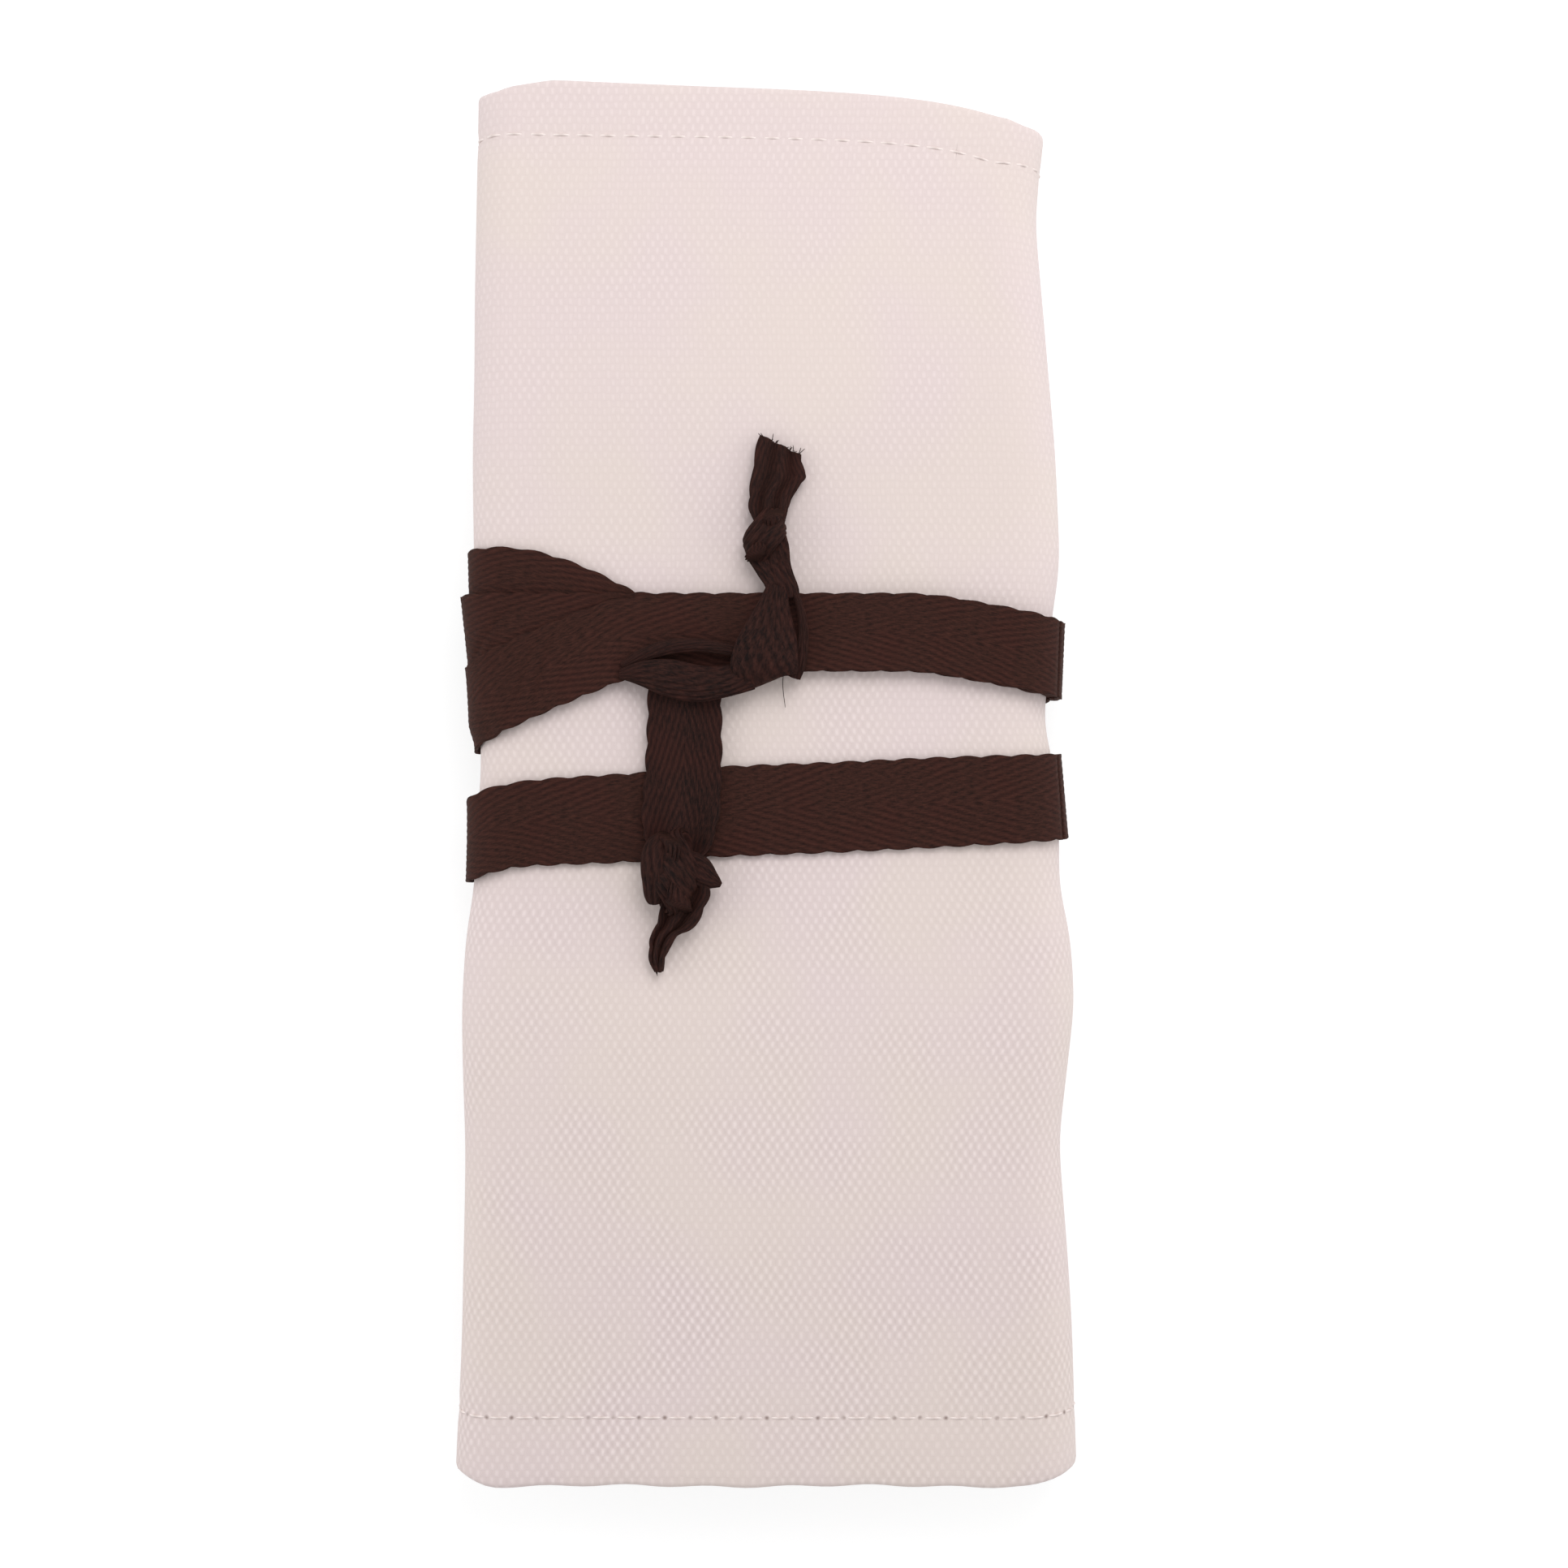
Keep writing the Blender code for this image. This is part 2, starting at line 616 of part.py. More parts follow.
def make_lower_tail(body):
    """The tail that hangs down over the lower band: flat tape, an overhand knot and a pointed end."""
    x, y = LOWER_KNOT
    half = LOWER_KNOT_SIZE[1] / 2
    height = FACE + LAYER + LOWER_KNOT_SIZE[2] / 2
    top = BAND_BOTTOM - CLEARANCE
    high_neck, low_neck = y + half + CLEARANCE, y - half - CLEARANCE
    free_tape("lower_tail", [
        (LOWER_TAIL_X, top, TAIL_HEIGHT, LOWER_TAIL_WIDTH, 0),
        (LOWER_TAIL_X, top - 0.006, layer_height(3.0), LOWER_TAIL_WIDTH, 0),
        (LOWER_TAIL_X, LOW_MIDDLE + TAPE_WIDTH / 2, layer_height(2.6), LOWER_TAIL_WIDTH, 0),
        (LOWER_TAIL_X, LOW_MIDDLE, layer_height(2.6), LOWER_TAIL_WIDTH, 0),
        (LOWER_TAIL_X - 0.0004, high_neck, layer_height(3), LOWER_TAIL_WIDTH * 0.84, 0),
    ], 16, body)
    knot_lump("lower_tail_knot", LOWER_KNOT, LOWER_KNOT_SIZE, 1, -15, body)
    free_tape("lower_tail_tip", [
        (x + 0.0008, low_neck, height, 0.0072, 0),
        (x + 0.0006, low_neck - 0.0020, height - 0.0004, 0.0074, -4),
        (x - 0.0010, low_neck - 0.0044, height - 0.0008, 0.0046, -8),
        (x - 0.0025, low_neck - 0.0066, height - 0.0012, 0.0029, -6),
        (x - 0.0027, LOWER_TIP, height - 0.0020, 0.0012, -6),
    ], 18, body)


def body_at(name, place, parent=None):
    """An empty on a joint's axis, which carries the pieces of one moving body."""
    empty = bpy.data.objects.new(name, None)
    empty.empty_display_size = 0.01
    empty.location = Vector(place)
    bpy.data.collections[COLLECTION].objects.link(empty)
    if parent is not None:
        empty.parent = parent
        empty.matrix_parent_inverse = Matrix.Translation(-parent.location)
    return empty


def main():
    for old in list(bpy.data.objects):
        bpy.data.objects.remove(old)
    collection = bpy.data.collections.new(COLLECTION)
    bpy.context.scene.collection.children.link(collection)
    back = body_at("back_body", (0, 0, 0))
    roll = body_at("roll_body", (HINGE_X, 0, MIDDLE_LEVEL))
    tie = body_at("tie_body", (0, 0, MIDDLE_LEVEL))
    upper = body_at("upper_tail_body", (NECK_X, BAND_TOP, NECK_HEIGHT))
    lower = body_at("lower_tail_body", (LOWER_TAIL_X, BAND_BOTTOM, TAIL_HEIGHT))
    make_cloth(back, roll)
    make_turns(tie)
    make_knot(tie)
    make_upper_tail(upper)
    make_lower_tail(lower)


main()
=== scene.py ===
"""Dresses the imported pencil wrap: woven canvas, hems, stitches, herringbone tape, knots and frayed ends."""

import math
from functools import partial

import bpy
import numpy as np
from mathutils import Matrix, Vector, geometry


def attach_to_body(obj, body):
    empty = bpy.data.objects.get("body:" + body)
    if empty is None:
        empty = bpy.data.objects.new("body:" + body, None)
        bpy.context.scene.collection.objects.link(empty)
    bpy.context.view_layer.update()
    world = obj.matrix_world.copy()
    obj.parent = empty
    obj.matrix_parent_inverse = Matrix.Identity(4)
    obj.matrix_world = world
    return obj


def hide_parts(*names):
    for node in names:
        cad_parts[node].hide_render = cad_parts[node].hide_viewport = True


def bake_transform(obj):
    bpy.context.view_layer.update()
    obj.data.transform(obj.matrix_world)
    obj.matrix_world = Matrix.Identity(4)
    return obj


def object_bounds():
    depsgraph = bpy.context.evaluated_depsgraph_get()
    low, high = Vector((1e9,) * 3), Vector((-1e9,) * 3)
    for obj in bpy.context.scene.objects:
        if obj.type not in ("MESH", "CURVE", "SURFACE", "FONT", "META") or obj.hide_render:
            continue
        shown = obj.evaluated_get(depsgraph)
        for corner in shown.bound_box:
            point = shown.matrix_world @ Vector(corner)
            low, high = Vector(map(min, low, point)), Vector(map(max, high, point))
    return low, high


bl_info = {
    "name": "Pencil Wrap",
    "version": (1, 0, 0),
    "blender": (4, 5, 0),
    "location": "View3D > Sidebar > Pencil Wrap",
    "description": "Dresses the tied canvas pencil wrap on its packed frame",
    "category": "Add Mesh",
}

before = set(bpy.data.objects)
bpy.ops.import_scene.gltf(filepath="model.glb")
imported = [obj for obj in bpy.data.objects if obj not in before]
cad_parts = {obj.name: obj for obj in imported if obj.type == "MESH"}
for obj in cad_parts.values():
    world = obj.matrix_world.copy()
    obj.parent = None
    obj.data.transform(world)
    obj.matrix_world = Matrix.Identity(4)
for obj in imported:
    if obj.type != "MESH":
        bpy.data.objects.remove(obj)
CAD_LOW, CAD_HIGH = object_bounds()
# The roll is as long as the frame, to a millimetre.
WRAP_LENGTH = round(CAD_HIGH[1] - CAD_LOW[1], 3)


def linear(code):
    """An sRGB hex value as the linear colour that Blender's sockets take."""
    values = [int(code[i:i + 2], 16) / 255 for i in (0, 2, 4)]
    return tuple(v / 12.92 if v <= 0.04045 else ((v + 0.055) / 1.055) ** 2.4 for v in values)


def length_of(name, default, text):
    return bpy.props.FloatProperty(name=name, description=text, default=default, min=0, precision=5,
                                   subtype="DISTANCE", unit="LENGTH")


def colour_of(name, code, text):
    return bpy.props.FloatVectorProperty(name=name, description=text, default=linear(code), size=3,
                                         min=0, max=1, subtype="COLOR")


class ClothSizes(bpy.types.PropertyGroup):
    """Sizes of the rolled canvas, its hems and its pencil channels."""
    wrap_width: length_of("Width", 0.094, "Width of the roll between its folds")
    wrap_length: length_of("Length", WRAP_LENGTH, "Length of the roll along the pencils")
    wrap_thickness: length_of("Thickness", 0.018, "Thickness of the roll away from the tape")
    canvas: length_of("Canvas", 0.0006, "Thickness of the canvas")
    layer_pitch: length_of("Layer pitch", 0.0042, "Distance between a panel and the next one inside it")
    free_edge_inset: length_of("Free edge inset", 0.006, "How far the outer end stops short of the left fold")
    core_edge_inset: length_of("Core edge inset", 0.015, "How far the inner end stops short of the left fold")
    bottom_hem: length_of("Bottom hem", 0.0115, "Depth of the hem at the bottom edge")
    top_hem: length_of("Top hem", 0.0085, "Depth of the hem at the top edge")
    side_hem: length_of("Side hem", 0.0090, "Depth of the hems at the short ends")
    top_drop: length_of("Top drop", 0.0076, "How far the top edge drops towards the outer fold")
    inner_recess: length_of("Inner recess", 0.0015, "How far the inner layers keep inside the outer ones")
    pocket_cloth: length_of("Pocket cloth", 0.0005, "Thickness of the pocket strip")
    pocket_height: length_of("Pocket height", 0.130, "Height of the pocket strip above the bottom hem")
    channel_pitch: length_of("Channel pitch", 0.015, "Distance between two pencil channels")
    channel_rise: length_of("Channel rise", 0.0012, "How far the pocket cloth stands off between its seams")
    undulation: length_of("Undulation", 0.00045, "Depth of the soft hollows in the cloth")
    stitch: length_of("Stitch", 0.0038, "Length of one stitch")
    thread: length_of("Thread", 0.00038, "Thickness of the sewing thread")
    warp_pitch: length_of("Warp pitch", 0.00074, "Distance between two warp yarns of the canvas")
    weft_pitch: length_of("Weft pitch", 0.00114, "Distance between two weft yarns of the canvas")


class TapeSizes(bpy.types.PropertyGroup):
    """Sizes of the herringbone tape and of the waist that it draws in."""
    width: length_of("Width", 0.0127, "Width of the tape")
    thickness: length_of("Thickness", 0.00055, "Thickness of the tape")
    clearance: length_of("Clearance", 0.0003, "Space between the tape and the canvas")
    layer_pitch: length_of("Layer pitch", 0.00066, "Distance between two turns that lie on each other")
    back_waist: length_of("Back waist", 0.00285, "How far the tape lifts the back of the roll")
    front_waist: length_of("Front waist", 0.0008, "How far the tape presses the front in")
    waist_fade: length_of("Waist fade", 0.025, "Length over which the waist fades out")
    scallop: length_of("Scallop", 0.0046, "Distance between two loops of the woven edge")
    scallop_depth: length_of("Scallop depth", 0.00036, "How far the loops stand out of the edge")
    rib: length_of("Rib", 0.00096, "Distance between two ribs of the herringbone")
    rib_height: length_of("Rib height", 0.00004, "Height of the ribs")


class WrapColours(bpy.types.PropertyGroup):
    """Colours of the cloth, the thread, the tape and the stage."""
    canvas: colour_of("Canvas", "e6d8d7", "Raised threads of the canvas")
    canvas_gap: colour_of("Canvas gaps", "c3b3b1", "Gaps between the threads of the canvas")
    lining: colour_of("Pocket cloth", "eae2dc", "Raised threads of the pocket strip")
    lining_gap: colour_of("Pocket cloth gaps", "d3c8c1", "Gaps between the threads of the pocket strip")
    thread: colour_of("Thread", "e6dad6", "Sewing thread")
    tape: colour_of("Tape", "4b2a22", "Raised ribs of the tape")
    tape_gap: colour_of("Tape gaps", "150805", "Grooves between the ribs of the tape")
    # Painted shade: the tape in the knot and the tails takes these darker colours.
    tape_shaded: colour_of("Shaded tape", "3b201a", "Ribs of the tape in the knot and the tails, painted darker for shade")
    tape_shaded_gap: colour_of("Shaded tape gaps", "0a0303", "Grooves of the tape in the knot and the tails, painted darker for shade")
    # Painted shade in the bottom seam's needle holes.
    needle_hole_shade: colour_of("Needle hole shade", "8d7b76", "Pits where the seam's thread dives into the canvas")
    floor: colour_of("Floor", "f4f4f4", "Floor under the wrap")


def smooth_step(value):
    value = np.clip(value, 0, 1)
    return value * value * (3 - 2 * value)


def unit(vectors):
    return vectors / (np.linalg.norm(vectors, axis=-1, keepdims=True) + 1e-12)


def lengths_along(points):
    """Length of the line from its first point to each of its points."""
    return np.concatenate([[0], np.cumsum(np.linalg.norm(np.diff(points, axis=0), axis=1))])


# The tables of places in this file are in millimetres, and Blender's lengths are in metres.
MM = 0.001
# How far a seam lies inside its hem's depth.
SEAM_INSET = 0.0008
# Air between cloth that lies on cloth.
EASE = 0.0003
# Middles of the lowest and the highest band along Y, and how far past the tape the waist is drawn in.
LOW_BAND, HIGH_BAND = -0.0077, 0.0304
WAIST_MARGIN = 0.002
# Height, as a share of the length, at which the tape's girth is taken.
TAPE_SEAT = 0.16
TABLE_STEP = 0.00025
# The top edge drops along the front, as shares of the whole drop: evenly, at its right end, over the fold.
TOP_DROPS, OVER_FOLD = (0.33, 0.42, 0.14), 0.006
# The top seam's place over its hem's depth, and how far it drops evenly and at the right end.
TOP_SEAM = (0.0003, 0.0012, 0.0032)
EDGE_RIPPLE = 0.00017
# The bottom corners are rounded by this much over this length.
CORNER_RISE, CORNER_REACH = 0.0013, 0.009
SEAM_GROOVE, GROOVE_WIDTH = 0.00022, 0.0009
# The roll is wound a little askew, and the tape draws it in. Rows of height, as a share of the length, and
# how far the left and the right side stand off half the width there, in millimetres.
SIDES = (
    (-0.50, -2.4, 3.4),
    (-0.40, -1.6, 2.6),
    (-0.26, -1, 0.5),
    (-0.16, -1.5, 3),
    (-0.11, -0.8, 2.1),
    (-0.075, 0.7, 0.1),
    (-0.03, 0.9, 0.2),
    (0.01, 1.8, -0.4),
    (0.045, 1.5, -2.4),
    (0.075, 1.2, -1.5),
    (0.12, 1, -1),
    (0.15, 0.7, 0.2),
    (0.16, 0.7, 0.4),
    (0.24, 0.3, -0.3),
    (0.34, 0.4, -2),
    (0.41, 0.9, -3.4),
    (0.50, 1.2, -1.2),
)
# How far the top edge stands off its line at distances past the start of the left fold.
TOP_CORNER = ((-30, 0.2), (-6, 0.4), (0, -0.7), (3.5, -1.4), (6.9, -1.3), (10.4, -0.6), (20, -0.6))


class RolledCloth:
    """The canvas strip rolled flat. A place on it is a distance along the strip from its outer end, a height
    along Y, and a lift towards its inner side."""

    def __init__(self, scene):
        self.sizes, self.tape = scene.wrap_cloth, scene.wrap_tape
        s = self.sizes
        skin, half = s.canvas / 2, s.wrap_width / 2
        back, front = skin, s.wrap_thickness - skin
        third, fourth = back + s.layer_pitch, front - s.layer_pitch
        outer, left, inner = (front - back) / 2, (front - third) / 2, (fourth - third) / 2
        self.right_x, self.left_x = half - skin - outer, -half + skin + left
        middle = (front + back) / 2
        down, up = -math.pi / 2, math.pi / 2
        self.panels = {
            "back": (-half + s.free_edge_inset, self.right_x, back, 1),
            "outer_fold": (self.right_x, middle, outer, down, up),
            "front": (self.right_x, self.left_x, front, -1),
            "left_fold": (self.left_x, front - left, left, up, up + math.pi),
            "third": (self.left_x, self.right_x, third, 1),
            "inner_fold": (self.right_x, middle, inner, down, up),
            "fourth": (self.right_x, -half + s.core_edge_inset, fourth, -1),
        }
        rows, self.begins, distance = [], {}, 0.0
        for name, panel in self.panels.items():
            self.begins[name] = distance
            if len(panel) == 4:
                start, end, level, inward = panel
                length = abs(end - start)
                rows += [(distance, start, level, 0, inward), (distance + length, end, level, 0, inward)]
            else:
                x, z, radius, start, end = panel
                length = radius * abs(end - start)
                for share in np.linspace(0, 1, max(int(length / TABLE_STEP), 2)):
                    angle = start + share * (end - start)
                    out_x, out_z = math.cos(angle), math.sin(angle)
                    here = (x + radius * out_x, z + radius * out_z, -out_x, -out_z)
                    rows.append((distance + share * length, *here))
            distance += length
        self.begins["end"] = distance
        self.table = np.array(rows)
        self.waist_low = LOW_BAND - self.tape.width / 2 - WAIST_MARGIN
        self.waist_high = HIGH_BAND + self.tape.width / 2 + WAIST_MARGIN
        heights, left, right = (np.array(column) for column in zip(*SIDES))
        self.heights = np.linspace(-0.55, 0.55, 441)
        soften = np.hanning(29) / np.hanning(29).sum()
        self.sides = [np.convolve(np.pad(np.interp(self.heights, heights, side * MM), 14, "edge"), soften,
                                  "valid") for side in (left, right)]

    def inside(self, distance):
        middle = (self.begins["left_fold"] + self.begins["third"]) / 2
        return smooth_step((distance - middle) / (self.begins["third"] - middle))

    def along_front(self, distance):
        """Share of the front that lies between its left end and this distance."""
        start, end = self.begins["front"], self.begins["left_fold"]
        return np.clip(1 - (distance - start) / (end - start), 0, 1)

    def top_edge(self, distance):
        """The top edge peaks near the left, slants down at that corner, and drops towards the outer fold."""
        s, share = self.sizes, self.along_front(distance)
        over_fold = smooth_step((self.begins["front"] - distance) / OVER_FOLD)
        drop = s.top_drop * (TOP_DROPS[0] * share + TOP_DROPS[1] * share**7 + TOP_DROPS[2] * over_fold)
        corner = np.interp((distance - self.begins["left_fold"]) / MM, *zip(*TOP_CORNER)) * MM
        return s.wrap_length / 2 - drop + corner - (s.top_drop + s.inner_recess) * self.inside(distance)

    def bottom_edge(self, distance):
        s = self.sizes
        ripple = EDGE_RIPPLE * (np.sin(distance * 523) + 0.8 * np.sin(distance * 171 + 1.3) - 0.4)
        left = CORNER_RISE * smooth_step((distance - self.begins["left_fold"]) / CORNER_REACH)
        right = CORNER_RISE * smooth_step((self.begins["front"] - distance) / CORNER_REACH)
        return left + right - s.wrap_length / 2 + s.inner_recess * self.inside(distance) - ripple

    def bottom_seam(self, distance):
        """The bottom seam runs straight, whatever the edge below it does."""
        level = self.sizes.bottom_hem - SEAM_INSET - self.sizes.wrap_length / 2
        return level + self.sizes.inner_recess * self.inside(distance)

    def top_seam(self, distance):
        """The top seam drops less than the edge above it does."""
        s, share = self.sizes, self.along_front(distance)
        drop = s.top_hem - TOP_SEAM[0] + TOP_SEAM[1] * share + TOP_SEAM[2] * share**8
        return s.wrap_length / 2 - drop - (s.top_drop + s.inner_recess) * self.inside(distance)

    def waist(self, y):
        below = smooth_step((y - self.waist_low) / self.tape.waist_fade + 1)
        above = smooth_step((self.waist_high - y) / self.tape.waist_fade + 1)
        return below * above

    def hollows(self, distance, y):
        """Soft hollows in the cloth and the groove along its hem stitches, always towards the inner side. The
        waves are in radians for each metre."""
        s = self.sizes
        wave = (np.sin(distance * 74 + 1.2 * np.sin(y * 41) + 0.4) + np.sin(y * 83 - distance * 31 + 2.1)
                + 0.6 * np.sin(distance * 151 + y * 97 + 4.0)
                + 0.5 * np.sin(y * 190 - 0.7 * np.sin(distance * 60)))
        soft = s.undulation * (0.5 + wave / 6.2) * (1 - 0.55 * self.waist(y))
        pucker = 0.75 + 0.25 * np.cos(2 * math.pi * distance / s.stitch)
        for line in (self.bottom_seam(distance), self.top_seam(distance)):
            soft = soft + SEAM_GROOVE * pucker * np.exp(-((y - line) / GROOVE_WIDTH) ** 2)
        return soft

    def drawn_in(self, points):
        """The roll is pressed flatter where the tape holds it, and its sides follow their own lines."""
        x, y, z = np.moveaxis(np.asarray(points, float), -1, 0)
        t, s = self.tape, self.sizes
        lift = t.back_waist * (1 - z / s.wrap_thickness) - t.front_waist * z / s.wrap_thickness
        return np.stack([x + self.side_shift(x, y), y, z + self.waist(y) * lift], -1)

    def side_shift(self, x, y):
        """How far a place is drawn along X at this height."""
        across = x / self.sizes.wrap_width + 0.5
        left, right = (np.interp(y / self.sizes.wrap_length, self.heights, side) for side in self.sides)
        return left * (1 - across) + right * across

    def section(self, distance):
        return [np.interp(distance, self.table[:, 0], self.table[:, i]) for i in range(1, 5)]

    def place(self, distance, y, lift):
        x, z, in_x, in_z = self.section(distance)
        lift = lift + self.hollows(distance, y)
        return self.drawn_in(np.stack([x + lift * in_x, y, z + lift * in_z], -1))


def new_piece(name, points, faces, marks, finish):
    """A smooth mesh piece; marks are its cloth coordinates, in centimetres."""
    mesh = bpy.data.meshes.new(name)
    mesh.from_pydata([tuple(p) for p in points], [], [tuple(f) for f in faces])
    corners = np.empty(len(mesh.loops), dtype=np.int32)
    mesh.loops.foreach_get("vertex_index", corners)
    layer = mesh.uv_layers.new(name="cloth")
    layer.data.foreach_set("uv", np.asarray(marks, float)[corners].ravel())
    mesh.materials.append(finish)
    mesh.shade_smooth()
    piece = bpy.data.objects.new(name, mesh)
    bpy.context.scene.collection.objects.link(piece)
    return piece


def settle(piece, body, node=None):
    """Put a piece on its body, and hide the CAD node that it stands in for, if it has one."""
    if body:
        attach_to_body(piece, body)
    if node:
        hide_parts(node)


def quads(columns, rows, start=0):
    """Faces of a grid of points that is stored column by column."""
    index = start + np.arange(columns * rows).reshape(columns, rows)
    return np.stack([index[:-1, :-1], index[1:, :-1], index[1:, 1:], index[:-1, 1:]], -1).reshape(-1, 4)


def thick_sheet(name, grid, marks, thickness, finish, joins=(), relief=0.0):
    """Cloth laid on a grid of points, (columns, rows, 3), with both its faces and its cut edges. A join is an
    end that meets the next piece, and is kept sharp so that the shading runs on over it."""
    columns, rows = grid.shape[:2]
    out = unit(np.cross(np.gradient(grid, axis=0), np.gradient(grid, axis=1)))
    half = (thickness / 2 + np.broadcast_to(relief, (columns, rows)))[..., None]
    points = np.concatenate([(grid + out * half).reshape(-1, 3), (grid - out * half).reshape(-1, 3)])
    count = columns * rows
    faces = [quads(columns, rows), quads(columns, rows, count)[:, ::-1]]
    index = np.arange(count).reshape(columns, rows)
    edges = {"first": index[0], "last": index[-1][::-1], "low": index[::-1, 0], "high": index[:, -1]}
    for edge in edges.values():
        faces.append(np.stack([edge[:-1], edge[1:], edge[1:] + count, edge[:-1] + count], -1))
    flat = np.broadcast_to(marks, (columns, rows, 2)).reshape(-1, 2)
    piece = new_piece(name, points, np.concatenate(faces), np.concatenate([flat, flat]), finish)
    mesh = piece.data
    ends = np.empty(2 * len(mesh.edges), dtype=np.int32)
    mesh.edges.foreach_get("vertices", ends)
    sharp = np.zeros(len(mesh.edges), dtype=bool)
    for join in joins:
        on_join = np.isin(ends, np.concatenate([edges[join], edges[join] + count])).reshape(-1, 2)
        sharp |= on_join.all(axis=1)
    mesh.attributes.new("sharp_edge", "BOOLEAN", "EDGE").data.foreach_set("value", sharp)
    return piece


def tubes(name, paths, radius, finish, sides=6):
    """Many thin round threads in one mesh; each path is an array of points."""
    points, faces, marks = [], [], []
    for path in paths:
        run = unit(np.gradient(path, axis=0))
        side = unit(np.cross(run, (0.31, 0.17, 0.93)))
        up = np.cross(side, run)
        reach = np.sin(np.linspace(0.25, math.pi - 0.25, len(path))) ** 0.35 * radius
        angles = np.linspace(0, 2 * math.pi, sides, endpoint=False)
        ring = (path[:, None] + side[:, None] * (reach[:, None] * np.cos(angles))[..., None]
                + up[:, None] * (reach[:, None] * np.sin(angles))[..., None])
        start = sum(len(p) for p in points)
        index = start + np.arange(len(path) * sides).reshape(len(path), sides)
        around = np.roll(index, -1, axis=1)
        faces += np.stack([index[:-1], around[:-1], around[1:], index[1:]], -1).reshape(-1, 4).tolist()
        faces += [index[0][::-1].tolist(), index[-1].tolist()]
        points.append(ring.reshape(-1, 3))
        length = np.linspace(0, 100 * lengths_along(path)[-1], len(path))
        marks.append(np.stack([np.repeat(length, sides), np.tile(angles * radius * 100, len(path))], -1))
    return new_piece(name, np.concatenate(points), faces, np.concatenate(marks), finish)


def add(tree, kind, inputs=None, **settings):
    """One node with its settings. Inputs hold plain values, sockets, or nodes for their first output."""
    node = tree.nodes.new("ShaderNode" + kind)
    for setting, value in settings.items():
        setattr(node, setting, value)
    for socket, value in (inputs or {}).items():
        if isinstance(value, bpy.types.Node):
            value = value.outputs[0]
        if isinstance(value, bpy.types.NodeSocket):
            tree.links.new(value, node.inputs[socket])
        else:
            node.inputs[socket].default_value = value
    return node


def new_finish(name):
    old = bpy.data.materials.get(name)
    if old:
        return old, None
    material = bpy.data.materials.new(name)
    material.use_nodes = True
    material.node_tree.nodes.clear()
    return material, material.node_tree


